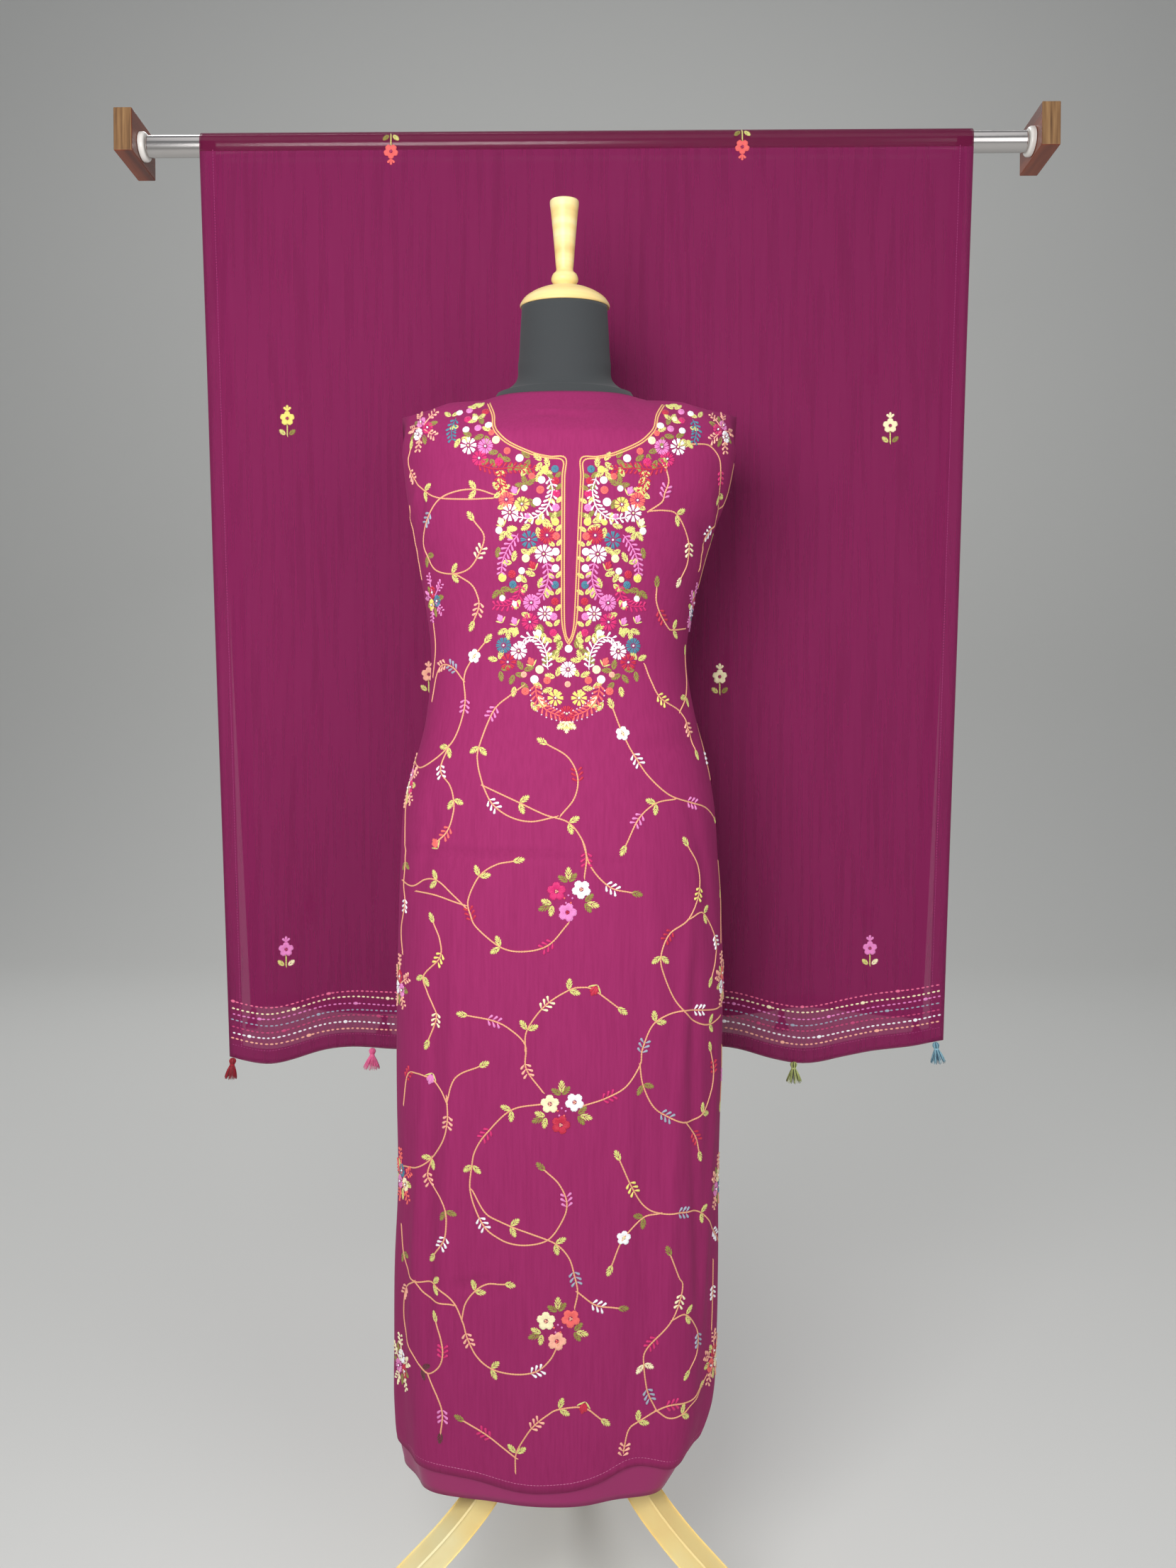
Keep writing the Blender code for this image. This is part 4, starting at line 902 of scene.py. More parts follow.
# Vines of the front length: each a path of places in mm with what grows there
VINES = (
    # (s, z, growth), ...
    ((-48, 1046, ""), (-62, 1036, ""), (-80, 1020, "orchid spray"), (-95, 984, "lime leaves"),
     (-96, 966, ""), (-90, 944, "")),
    ((-90, 944, ""), (-80, 926, "white spray"), (-62, 913, ""), (-40, 908, ""), (-14, 913, "")),
    ((-90, 944, ""), (-72, 936, ""), (-52, 927, "lime leaves"), (-26, 915, ""), (-2, 907, "lime leaves"),
     (12, 889, ""),
     (16, 872, "hot spray"), (14, 852, "")),
    ((12, 889, ""), (21, 862, ""), (40, 842, "white spray"), (62, 836, "olive leaf")),
    ((-10, 914, ""), (4, 932, ""), (7, 953, "crimson spray"), (-3, 973, ""), (-24, 986, "lime leaf")),
    ((-2, 806, ""), (-22, 784, "hot spray"), (-47, 777, ""), (-71, 781, "lime leaves"), (-95, 800, ""),
     (-102, 812, "crimson spray"), (-105, 828, ""), (-93, 852, "lime leaves"), (-76, 864, ""),
     (-58, 868, "lime leaf")),
    ((-108, 820, ""), (-122, 832, ""), (-142, 846, "lime leaves"), (-160, 846, ""), (-180, 838, ""),
     (-206, 842, "")),
    ((-108, 822, ""), (-145, 831, ""), (-174, 833, "")),
    ((-115, 1052, ""), (-113, 1028, "orchid spray"), (-121, 1000, ""), (-132, 984, "lime leaves"),
     (-152, 970, ""),
     (-176, 962, ""), (-200, 968, "olive leaf")),
    ((-132, 984, ""), (-141, 960, "white spray"), (-128, 944, ""), (-123, 930, "lime leaves"),
     (-123, 916, ""),
     (-130, 897, "coral spray"), (-145, 884, "coral bud")),
    ((-206, 930, ""), (-200, 895, ""), (-197, 862, "olive leaves"), (-200, 838, ""),
     (-196, 818, "white spray"),
     (-206, 790, ""), (-200, 765, "")),
    ((-147, 802, "lime leaf"), (-139, 785, ""), (-139, 767, "yellow spray"), (-160, 746, "lime leaves"),
     (-155, 730, ""),
     (-148, 716, ""), (-144, 704, "cream spray"), (-154, 680, "lime leaf")),
    ((43, 1022, "lime leaf"), (53, 997, "white rose"), (67, 972, "white spray"), (82, 952, ""),
     (105, 934, ""),
     (133, 926, "orchid spray"), (158, 920, ""), (184, 908, "lime leaf")),
    ((112, 930, ""), (89, 926, "lime leaves"), (70, 911, "orchid spray"), (56, 884, "lime leaf")),
    ((78, 1068, ""), (85, 1052, ""), (97, 1034, "yellow spray"), (124, 1021, ""),
     (135, 1005, "peach spray"),
     (146, 981, "lime leaf")),
    ((150, 1082, "lime leaf"), (149, 1058, ""), (140, 1038, "lime leaves"), (124, 1021, "")),
    ((127, 881, "lime leaf"), (142, 858, ""), (142, 833, "yellow spray"), (126, 806, ""),
     (103, 792, "crimson spray"),
     (93, 771, "lime leaves"), (96, 752, ""), (111, 722, ""), (134, 700, ""), (158, 692, "lime leaves"),
     (186, 696, "")),
    ((126, 806, ""), (150, 810, "lime leaves"), (173, 780, "white spray"), (172, 760, ""),
     (163, 742, "lime leaf")),
    ((-106, 710, "lime leaf"), (-80, 706, "orchid spray"), (-62, 698, ""), (-46, 682, ""),
     (-45, 658, "peach spray"),
     (-28, 634, "")),
    ((-46, 676, ""), (-44, 697, "lime leaves"), (-26, 722, "cream spray"), (-2, 738, "lime leaves"),
     (12, 741, ""),
     (24, 738, "crimson bud"), (48, 720, "lime leaf")),
    ((12, 620, ""), (37, 628, "hot spray"), (56, 639, ""), (71, 660, ""), (74, 677, "grey spray"),
     (87, 703, "lime leaves"),
     (114, 712, ""), (140, 710, "white spray"), (176, 706, ""), (204, 712, "olive leaf")),
    ((71, 660, ""), (74, 640, "olive leaves"), (84, 618, ""), (98, 606, "grey spray"), (123, 595, ""),
     (148, 599, "lime leaves"), (165, 620, ""), (169, 642, "crimson spray"), (163, 662, "lime leaf")),
    ((123, 595, ""), (138, 578, "crimson spray"), (144, 560, "lime leaf")),
    ((-28, 622, ""), (-60, 615, "lime leaves"), (-86, 590, "hot spray"), (-98, 572, ""),
     (-102, 556, "lime leaves"),
     (-104, 528, ""), (-92, 498, "white spray"), (-76, 483, ""), (-50, 477, ""), (-24, 483, ""),
     (-8, 504, ""),
     (-4, 522, "orchid spray"), (-12, 541, ""), (-26, 554, "olive leaf")),
    ((-102, 530, ""), (-86, 506, ""), (-62, 496, "lime leaves"), (-38, 488, ""), (-16, 480, "lime leaves"),
     (-2, 465, ""),
     (4, 446, "grey spray"), (7, 430, ""), (4, 414, "")),
    ((7, 430, ""), (26, 416, "white spray"), (48, 412, "olive leaf")),
    ((-196, 604, ""), (-187, 637, "crimson spray"), (-170, 642, ""), (-152, 639, "orchid bud"),
     (-138, 630, ""),
     (-129, 618, "")),
    ((-129, 618, ""), (-119, 645, ""), (-94, 658, "lime leaf")),
    ((-129, 624, ""), (-128, 600, "peach spray"), (-134, 578, ""), (-151, 556, "lime leaves"),
     (-170, 543, ""),
     (-200, 536, "")),
    ((-151, 556, ""), (-156, 535, "peach spray"), (-138, 518, ""), (-131, 506, "olive leaves"),
     (-130, 490, ""),
     (-133, 474, "white spray"), (-145, 458, "lime leaf")),
    ((-206, 470, ""), (-200, 444, "olive leaves"), (-188, 430, ""), (-172, 423, ""),
     (-147, 427, "lime leaves"),
     (-124, 412, ""), (-113, 392, ""), (-108, 376, "peach spray"), (-98, 358, ""),
     (-83, 347, "lime leaves"),
     (-58, 344, ""), (-36, 348, "white spray"), (-21, 361, ""), (-13, 376, "")),
    ((-172, 423, ""), (-152, 411, ""), (-122, 408, "")),
    ((-114, 394, ""), (-110, 411, ""), (-100, 425, "lime leaves"), (-86, 434, ""), (-68, 435, "lime leaf")),
    ((50, 563, "lime leaf"), (62, 536, "yellow spray"), (76, 514, ""), (93, 505, ""),
     (118, 502, "grey spray"),
     (148, 494, "lime leaves"), (180, 462, "white spray"), (196, 446, "")),
    ((93, 505, ""), (76, 502, "olive leaves"), (54, 484, "white rose"), (42, 456, "lime leaf")),
    ((104, 460, "olive leaf"), (114, 436, ""), (119, 427, ""), (116, 412, "cream spray"), (106, 393, ""),
     (86, 372, "hot spray"), (77, 361, ""), (76, 350, "cream leaves"), (78, 332, ""),
     (81, 318, "grey spray"),
     (90, 299, "")),
    ((106, 393, ""), (123, 394, "lime leaves"), (139, 376, ""), (143, 363, "grey spray"), (140, 347, ""),
     (129, 334, "lime leaf")),
    ((55, 260, "peach spray"), (60, 282, ""), (70, 290, "lime leaves"), (90, 299, ""),
     (105, 303, "hot spray"),
     (132, 300, ""), (152, 304, "lime leaf")),
    ((90, 299, ""), (103, 290, ""), (118, 290, "lime leaves"), (143, 298, ""), (168, 310, "")),
    ((-172, 423, ""), (-194, 406, "peach spray"), (-198, 372, ""), (-182, 350, ""),
     (-161, 335, "brown leaves"),
     (-151, 332, ""), (-139, 342, ""), (-135, 356, "hot spray"), (-137, 372, ""), (-142, 388, "lime leaf")),
    ((-153, 331, ""), (-141, 308, ""), (-136, 292, "orchid spray"), (-138, 272, "brown leaf")),
    ((-57, 242, ""), (-56, 262, "lime leaves"), (-46, 281, ""), (-37, 293, "peach spray"), (-24, 304, ""),
     (-12, 310, "lime leaves"), (13, 311, "crimson bud"), (31, 298, "lime leaf")),
    ((-56, 257, ""), (-70, 266, ""), (-88, 277, "hot spray"), (-112, 288, "olive leaf")),
    ((178, 432, ""), (178, 400, "white spray"), (176, 358, "")),
    ((80, 1220, ""), (98, 1222, ""), (112, 1220, "lime leaves"), (126, 1205, ""),
     (133, 1190, "cream spray"),
     (134, 1174, ""), (125, 1159, "cream leaf")),
    ((80, 1220, ""), (94, 1230, ""), (97, 1239, "orchid spray"), (101, 1251, ""), (98, 1264, "lime leaf")),
    ((127, 1293, "lime leaf"), (152, 1295, ""), (168, 1284, ""), (174, 1268, "hot spray"),
     (180, 1250, "lime leaves"),
     (188, 1236, ""), (184, 1222, ""), (173, 1212, "white spray"), (166, 1192, ""), (162, 1172, "")),
    ((222, 1290, ""), (214, 1262, ""), (202, 1244, ""), (188, 1236, "")),
    ((212, 1206, "lime leaf"), (206, 1186, ""), (198, 1160, "")),
    ((91, 1146, "olive leaf"), (91, 1133, ""), (97, 1120, "crimson spray"), (108, 1108, ""),
     (116, 1106, "lime leaves"),
     (144, 1110, "")),
    ((-186, 1296, "lime leaf"), (-191, 1284, ""), (-187, 1270, "peach spray"), (-163, 1249, "lime leaves"),
     (-141, 1238, ""), (-107, 1233, ""), (-78, 1232, "")),
    ((-78, 1236, ""), (-96, 1242, "lime leaves"), (-119, 1242, ""), (-141, 1236, ""),
     (-158, 1221, "grey spray"),
     (-169, 1202, ""), (-166, 1184, "olive leaves"), (-153, 1168, ""), (-128, 1161, "lime leaves"),
     (-107, 1164, ""),
     (-94, 1178, "cream spray"), (-88, 1195, ""), (-99, 1211, "lime leaf")),
    ((-122, 1160, ""), (-104, 1149, ""), (-97, 1137, ""), (-96, 1126, "peach spray"),
     (-102, 1113, "lime leaf")),
    ((-164, 1116, ""), (-162, 1090, ""), (-170, 1060, "")),
    ((-90, 1090, "lime leaf"), (-102, 1077, "white rose"), (-112, 1063, ""), (-115, 1052, "")),
    ((-115, 1052, ""), (-129, 1066, "grey spray"), (-146, 1070, "peach spray"), (-159, 1060, ""),
     (-168, 1034, "")),
    ((-206, 1240, ""), (-204, 1205, ""), (-196, 1165, "")),
    ((200, 1020, "olive leaf"), (186, 1000, ""), (180, 975, "white spray"), (186, 950, "")),
    ((200, 860, ""), (206, 830, "lime leaves"), (196, 800, ""), (192, 775, "")),
    ((200, 660, ""), (206, 630, "orchid spray"), (198, 600, "lime leaf")),
)

# Round groups of three flowers on the middle of the front
BOUQUETS = (
    # s, z, left flower, right flower, lower flower
    (-2, 830, "hot", "white", "orchid"),
    (-9, 614, "cream", "white", "crimson"),
    (-13, 393, "cream", "coral", "peach"),
)
BOUQUET_FLOWERS = (
    # s, z, turn in degrees
    (-12, 8, 20.0),
    (13, 10, 50.0),
    (-1, -13, 0.0),
)
BOUQUET_LEAVES = (
    # s, z, degrees from straight up, thread of the outer leaves
    (0, 17, 0.0, "lime"),
    (-16, -5, 112.0, "olive"),
    (16, -3, -105.0, "lime"),
)

# Groups of daisies with small sprays at the shoulders and down both sides
CLUSTERS = (
    # s, z, degrees, size, daisy threads, spray thread, leaf thread
    (172, 1317, -20.0, 1.0, ("orchid", "hot", "white"), "peach", "olive"),
    (-165, 1317, 20.0, 1.0, ("orchid", "white", "hot"), "peach", "olive"),
    (166, 1132, -12.0, 0.85, ("crimson", "white", "teal"), "orchid", "lime"),
    (-160, 1139, 12.0, 0.85, ("crimson", "yellow", "teal"), "orchid", "olive"),
    (-204, 945, 4.0, 1.0, ("orchid", "cream", "hot"), "peach", "lime"),
    (-208, 730, -4.0, 1.0, ("crimson", "white", "orchid"), "peach", "olive"),
    (-204, 521, 4.0, 1.0, ("teal", "orchid", "cream"), "coral", "lime"),
    (-206, 320, 0.0, 1.0, ("white", "orchid", "crimson"), "cream", "olive"),
    (196, 732, 6.0, 1.0, ("coral", "white", "hot"), "peach", "lime"),
    (192, 511, -6.0, 1.0, ("cream", "orchid", "teal"), "peach", "olive"),
    (184, 322, 0.0, 1.0, ("crimson", "coral", "cream"), "peach", "lime"),
)

# Yoke: u is the distance from its own middle line, and each row is worked on both sides
YOKE_TOP = (0.0030, 1.271)
YOKE_LEAN = 0.028
YOKE_CORD = (
    # u, z
    (91, 1343), (84, 1325), (81, 1308), (75, 1298), (63, 1288), (40, 1277), (24, 1273), (8, 1271),
    (8, 1250), (7, 1205),
    (6, 1150), (5, 1112), (3, 1097), (0, 1091),
)
YOKE_DOTS = (
    # u, z, thread, leaf thread below
    (18, 1260, "teal", "olive"),
    (17, 1248, "crimson", "olive"),
    (16, 1235, "hot", "lime"),
    (16, 1221, "orchid", "olive"),
    (16, 1207, "yellow", "lime"),
    (15, 1193, "coral", "lime"),
    (15, 1178, "white", "lime"),
    (15, 1162, "white", "lime"),
    (15, 1146, "teal", "lime"),
    (15, 1130, "crimson", "lime"),
    (16, 1115, "orchid", "lime"),
    (16, 1099, "hot", "lime"),
)
YOKE_FLOWERS = (
    # u, z, kind, thread, size in mm
    (94, 1330, "rose", "crimson", 9.0),
    (112, 1333, "rose", "orchid", 8.5),
    (123, 1331, "rose", "white", 8.5),
    (112, 1320, "rose", "hot", 9.0),
    (99, 1307, "rose", "orchid", 8.5),
    (112, 1306, "rose", "white", 8.5),
    (88, 1310, "rose", "white", 9.0),
    (79, 1292, "rose", "cream", 9.0),
    (90, 1286, "daisy", "orchid", 15.0),
    (108, 1288, "daisy", "white", 16.0),
    (96, 1274, "daisy", "hot", 15.0),
    (54, 1272, "rose", "white", 9.0),
    (67, 1280, "rose", "coral", 8.0),
    (75, 1269, "rose", "hot", 10.0),
    (31, 1249, "rose", "white", 8.5),
    (32, 1239, "rose", "coral", 9.0),
    (35, 1227, "rose", "white", 9.5),
    (41, 1253, "rose", "coral", 7.5),
    (58, 1239, "bud", "orchid", 9.0),
    (50, 1225, "daisy", "yellow", 14.0),
    (66, 1230, "daisy", "coral", 15.0),
    (62, 1217, "daisy", "white", 16.0),
    (71, 1208, "bud", "cream", 9.0),
    (24, 1194, "daisy", "crimson", 16.0),
    (42, 1190, "daisy", "teal", 16.0),
    (27, 1176, "daisy", "white", 17.0),
    (38, 1165, "bud", "crimson", 9.0),
    (45, 1172, "rose", "cream", 9.0),
    (49, 1160, "rose", "white", 7.5),
    (59, 1157, "rose", "crimson", 9.0),
    (69, 1154, "rose", "yellow", 9.5),
    (58, 1147, "rose", "teal", 8.5),
    (39, 1129, "daisy", "orchid", 15.5),
    (25, 1118, "daisy", "white", 14.0),
    (40, 1110, "daisy", "hot", 16.0),
    (56, 1111, "bud", "orchid", 8.5),
    (71, 1114, "bud", "orchid", 8.5),
    (51, 1081, "daisy", "white", 16.0),
    (67, 1087, "daisy", "teal", 15.0),
    (62, 1070, "daisy", "crimson", 16.0),
    (38, 1070, "bud", "coral", 9.0),
    (29, 1062, "rose", "cream", 9.5),
    (34, 1052, "rose", "white", 9.5),
    (21, 1051, "rose", "coral", 8.5),
    (43, 1040, "rose", "coral", 9.0),
    (12, 1033, "daisy", "yellow", 15.0),
    (28, 1260, "rose", "yellow", 8.0),
    (48, 1241, "rose", "white", 7.0),
    (44, 1213, "rose", "orchid", 6.5),
    (73, 1200, "rose", "white", 8.0),
    (33, 1207, "rose", "yellow", 7.0),
    (52, 1152, "rose", "cream", 6.5),
    (69, 1134, "rose", "white", 7.0),
    (31, 1099, "rose", "white", 7.5),
    (56, 1128, "bud", "white", 7.0),
    (45, 1057, "rose", "peach", 7.0),
    (104, 1321, "rose", "cream", 7.0),
    (84, 1300, "rose", "coral", 7.0),
)
YOKE_FERNS = (
    # thread, then a path of (u, z)
    ("teal", (126, 1321), (129, 1310), (127, 1297)),
    ("crimson", (96, 1267), (80, 1262), (60, 1262), (41, 1260)),
    ("crimson", (72, 1258), (73, 1250), (70, 1241)),
    ("white", (23, 1250), (20, 1238), (25, 1221), (38, 1211), (53, 1212)),
    ("orchid", (54, 1194), (62, 1184), (68, 1172), (70, 1160)),
    ("orchid", (24, 1167), (22, 1153), (27, 1138), (35, 1131)),
    ("hot", (50, 1146), (53, 1134), (63, 1127), (76, 1127)),
    ("white", (21, 1064), (23, 1080), (32, 1093), (43, 1094), (49, 1086)),
    ("coral", (33, 1046), (30, 1032), (21, 1021), (8, 1015)),
)
YOKE_LEAVES = (
    # u, z, degrees from straight up, thread, leaves
    (97, 1341, 70.0, "lime", 1), (112, 1341, -80.0, "lime", 1), (104, 1336, 10.0, "lime", 2),
    (132, 1326, -10.0, "lime", 2),
    (117, 1297, 190.0, "lime", 2), (100, 1318, 30.0, "lime", 3), (91, 1298, 150.0, "olive", 2),
    (84, 1302, 60.0, "lime", 1),
    (31, 1268, 90.0, "lime", 2), (43, 1271, 90.0, "olive", 2), (62, 1269, 110.0, "olive", 2),
    (75, 1279, 130.0, "olive", 2),
    (24, 1261, 60.0, "lime", 2), (32, 1258, 200.0, "lime", 2), (52, 1252, -30.0, "lime", 1),
    (46, 1243, 15.0, "olive", 3),
    (44, 1231, 160.0, "olive", 2), (80, 1256, -80.0, "lime", 1), (73, 1239, -20.0, "lime", 2),
    (76, 1221, -70.0, "lime", 1),
    (20, 1206, 20.0, "lime", 2), (40, 1205, 60.0, "lime", 2), (53, 1200, 80.0, "lime", 1),
    (66, 1200, -150.0, "lime", 3),
    (34, 1203, 190.0, "lime", 1), (51, 1181, -120.0, "lime", 1), (34, 1155, 70.0, "lime", 1),
    (43, 1148, 90.0, "lime", 2),
    (72, 1143, -160.0, "olive", 3), (62, 1139, -60.0, "olive", 1), (50, 1119, -110.0, "lime", 1),
    (63, 1104, 180.0, "lime", 3),
    (22, 1132, 10.0, "lime", 1), (26, 1100, 120.0, "lime", 3), (50, 1098, 60.0, "lime", 1),
    (46, 1061, -30.0, "olive", 2),
    (55, 1058, 200.0, "olive", 2), (14, 1071, -20.0, "lime", 3), (8, 1082, 60.0, "olive", 2),
    (12, 1054, 20.0, "lime", 2),
    (37, 1030, 210.0, "lime", 1), (70, 1062, -130.0, "olive", 2), (14, 1043, 150.0, "lime", 2),
    (10, 1006, -110.0, "lime", 1),
    (25, 1043, 60.0, "lime", 1), (48, 1050, -140.0, "olive", 1), (7, 1092, 100.0, "lime", 2),
    (80, 1232, -60.0, "lime", 1),
    (48, 1264, 150.0, "olive", 2), (66, 1245, 100.0, "lime", 2), (54, 1216, 10.0, "lime", 1),
    (30, 1205, -60.0, "lime", 2),
    (33, 1183, 120.0, "lime", 1), (58, 1168, 30.0, "lime", 2), (50, 1133, 150.0, "lime", 1),
    (32, 1142, -20.0, "lime", 1),
    (73, 1185, 170.0, "olive", 1), (31, 1109, 200.0, "olive", 1), (57, 1094, -20.0, "lime", 1),
    (72, 1072, 20.0, "lime", 2),
    (20, 1077, 150.0, "olive", 1), (30, 1036, -150.0, "cream", 1), (54, 1046, 170.0, "lime", 1),
    (120, 1312, 100.0, "lime", 1),
    (104, 1297, 60.0, "olive", 1), (85, 1273, 160.0, "olive", 2), (99, 1323, 200.0, "olive", 1),
    (19, 1027, 100.0, "lime", 1),
)
# Growths on the yoke's own middle line
YOKE_MIDDLE = (
    # z, kind, thread, size in mm
    (1083, "rose", "white", 9.5),
    (1062, "daisy", "white", 17.0),
    (1017, "daisy", "crimson", 17.0),
    (1047, "rose", "peach", 7.5),
)

# Lines of running stitch above the dupatta's lower hems, from the top one down
RUNNING_TOP = 0.070
RUNNING_PITCH = 0.0077
RUNNING_STEP = 0.0062
RUNNING_LINES = (
    # thread, width
    ("pink", 0.0021),
    ("cream", 0.0024),
    ("orchid", 0.0022),
    ("grey", 0.0020),
    ("rosy", 0.0022),
    ("white", 0.0024),
    ("peach", 0.0023),
)

# Motifs of the dupatta: the middle of each flower
FRONT_POSIES = (
    # x, z, up, thread
    (-0.238, 1.716, -1.0, "coral"),
    (0.192, 1.719, -1.0, "coral"),
    (-0.367, 1.391, 1.0, "yellow"),
    (0.003, 1.386, 1.0, "cream"),
    (0.374, 1.380, 1.0, "cream"),
    (-0.193, 1.076, 1.0, "peach"),
    (0.166, 1.073, 1.0, "cream"),
    (-0.3715, 0.735, 1.0, "orchid"),
    (-0.010, 0.732, 1.0, "pink"),
    (0.353, 0.737, 1.0, "orchid"),
)
BACK_POSIES = (
    # x, z, up, thread
    (-0.360, 1.455, 1.0, "cream"),
    (0.000, 1.458, 1.0, "peach"),
    (0.360, 1.460, 1.0, "coral"),
    (-0.216, 1.105, 1.0, "pink"),
    (0.178, 1.097, 1.0, "coral"),
    (-0.350, 0.785, 1.0, "cream"),
    (0.004, 0.782, 1.0, "orchid"),
    (0.355, 0.780, 1.0, "coral"),
)

# Tassels along the dupatta's two short hems
TASSELS = (
    # x, lean in degrees, spread at the tips, thread at the front, thread at the back
    (-0.4385, -7.0, 0.0030, "crimson", "pink"),
    (-0.2650, -3.0, 0.0055, "pink", "green"),
    (-0.0900, 2.0, 0.0040, "cream", "crimson"),
    (0.0850, -2.0, 0.0040, "crimson", "teal"),
    (0.2580, 1.0, 0.0050, "green", "pink"),
    (0.4330, 8.0, 0.0045, "teal", "crimson"),
)
TASSEL_THREADS = (
    # name, main colour, second colour
    ("crimson", (172, 26, 48), (128, 12, 30)),
    ("pink", (248, 122, 172), (226, 84, 144)),
    ("cream", (244, 232, 190), (214, 196, 146)),
    ("green", (196, 206, 128), (76, 78, 40)),
    ("teal", (150, 196, 212), (48, 92, 116)),
)
TASSEL_STRANDS = 72
GOLDEN_TURN = 2.399963
BINDING_CORNERS = 18
STRAND_RADIUS = 0.00042
STRAND_LINE = (
    # radius, share of the spread, z
    (0.0007, 0.00, -0.0002),
    (0.0028, 0.00, -0.0013),
    (0.0040, 0.00, -0.0040),
    (0.0032, 0.00, -0.0068),
    (0.0019, 0.00, -0.0086),
    (0.0032, 0.05, -0.0112),
    (0.0040, 0.35, -0.0165),
    (0.0042, 0.75, -0.0220),
    (0.0040, 1.10, -0.0262),
)

STATIONS = np.array((0.16, 0.5, 0.84))
SECTION = np.array(((-1.0, 0.0), (-0.72, 0.7), (0.0, 1.0), (0.72, 0.7), (1.0, 0.0)))
SLENDER = np.array((0.72, 1.0, 0.72))
DROP = np.array((0.34, 0.80, 1.0))
STITCH_SINK = 0.0002
MM = 0.001
LEAF_STITCHES = (
    # root, end, reach to the side, in shares of the leaf
    (0.00, 0.34, 0.80),
    (0.16, 0.56, 1.00),
    (0.36, 0.78, 0.80),
    (0.54, 0.94, 0.42),
)
ROSE_ROUNDS = (
    # stitches, radius in shares of the rose, height
    (7, 0.38, 0.0),
    (5, 0.22, 0.0005),
    (2, 0.07, 0.0010),
)
PETAL_REACH = (1.0, 1.02, 0.95, 0.80)
FERN_PITCH = 0.0050
FERN_REACH = 0.0084


class Surface:
    """Points and normals of a cloth over even steps of s, with rows at rising z."""

    def __init__(self, s, z, points, normals):
        self.s, self.z, self.points, self.normals = s, z, points, normals

    def at(self, place, lift):
        """Points a lift above the cloth at places given as s + z i."""
        i = np.interp(place.imag, self.z, np.arange(len(self.z)))
        j = np.clip((place.real - self.s[0]) / (self.s[1] - self.s[0]), 0, len(self.s) - 1.001)
        row, column = np.minimum(i.astype(int), len(self.z) - 2), j.astype(int)
        v, u = (i - row)[..., None], (j - column)[..., None]
        mixed = [(a[row, column] * (1 - u) + a[row, column + 1] * u) * (1 - v)
                 + (a[row + 1, column] * (1 - u) + a[row + 1, column + 1] * u) * v
                 for a in (self.points, self.normals)]
        return mixed[0] + mixed[1] * lift[..., None]


class Needle:
    """Gathers stitches by thread and works them on one cloth as joined meshes."""

    def __init__(self, surface, word):
        self.surface, self.word, self.threads = surface, word, {}

    def stitch(self, thread, start, end, width=0.0014, height=0.0008, full=0.0, base=0.0):
        """One raised stitch between two places; full 1 makes its end the widest."""
        row = (start.real, start.imag, end.real, end.imag, width, height, full, base)
        self.threads.setdefault(thread, []).append(row)

    def finish(self, materials):
        """Makes one object of each thread."""
        made = []
        for thread in sorted(self.threads):
            rows = np.array(self.threads[thread])
            a, b = rows[:, 0] + 1j * rows[:, 1], rows[:, 2] + 1j * rows[:, 3]
            width, height, full, base = rows[:, 4:].T
            along = (b - a) / np.maximum(np.abs(b - a), 1e-6)
            shape = SLENDER + (DROP - SLENDER) * full[:, None]
            centre = a[:, None] + (b - a)[:, None] * STATIONS
            across = (along * 1j * 0.5 * width)[:, None, None] * shape[:, :, None] * SECTION[:, 0]
            place = (centre[:, :, None] + across).reshape(len(rows), -1)
            lift = base[:, None, None] + height[:, None, None] * shape[:, :, None] * SECTION[:,
                    1] - STITCH_SINK
            place = np.concatenate((a[:, None], place, b[:, None]), axis=1)
            low_end = (base + 0.15 * height)[:, None]
            lift = np.concatenate((low_end, lift.reshape(len(rows), -1), low_end), axis=1)
            points = self.surface.at(place, lift)
            size = len(SECTION)
            faces = [(0, 1 + k, 2 + k) for k in range(size - 1)]
            for r in range(len(STATIONS) - 1):
                start = 1 + r * size
                faces += [(start + k, start + size + k, start + size + k + 1, start + k + 1)
                          for k in range(size - 1)]
            last = 1 + (len(STATIONS) - 1) * size
            faces += [(last + k + 1, last + k, last + size) for k in range(size - 1)]
            per = points.shape[1]
            all_faces = [tuple(v + n * per for v in face) for n in range(len(rows)) for face in faces]
            obj = mesh_object("thread_" + self.word + "_" + thread, points.reshape(-1, 3), all_faces,
                              materials[thread])
            made.append(obj)
        return made


def unit(degrees):
    """Unit step at an angle from the way to the right, positive upwards."""
    return complex(math.cos(math.radians(degrees)), math.sin(math.radians(degrees)))


def turned(degrees):
    """Unit step at an angle from straight up, positive to the left."""
    return 1j * unit(degrees)


def smooth_path(points, pitch):
    """Places at an even pitch on a smooth curve through points, and the share where each point lies."""
    points = np.array(points)
    before = np.concatenate((points[:1] * 2 - points[1:2], points[:-1]))
    after = np.concatenate((points[1:], points[-1:] * 2 - points[-2:-1]))
    slopes = 0.5 * (after - before)
    fine = []
    for i in range(len(points) - 1):
        t = np.linspace(0.0, 1.0, 24, endpoint=False)
        fine.append(points[i] * (1 + 2 * t) * (1 - t) ** 2 + slopes[i] * t * (1 - t) ** 2
                    + points[i + 1] * t * t * (3 - 2 * t) - slopes[i + 1] * t * t * (1 - t))
    fine = np.concatenate(fine + [points[-1:]])
    along = np.concatenate(((0.0,), np.cumsum(np.abs(np.diff(fine)))))
    count = max(2, int(round(along[-1] / pitch)))
    even = np.linspace(0.0, along[-1], count + 1)
    path = np.interp(even, along, fine.real) + 1j * np.interp(even, along, fine.imag)
    return path, along[::24] / along[-1]


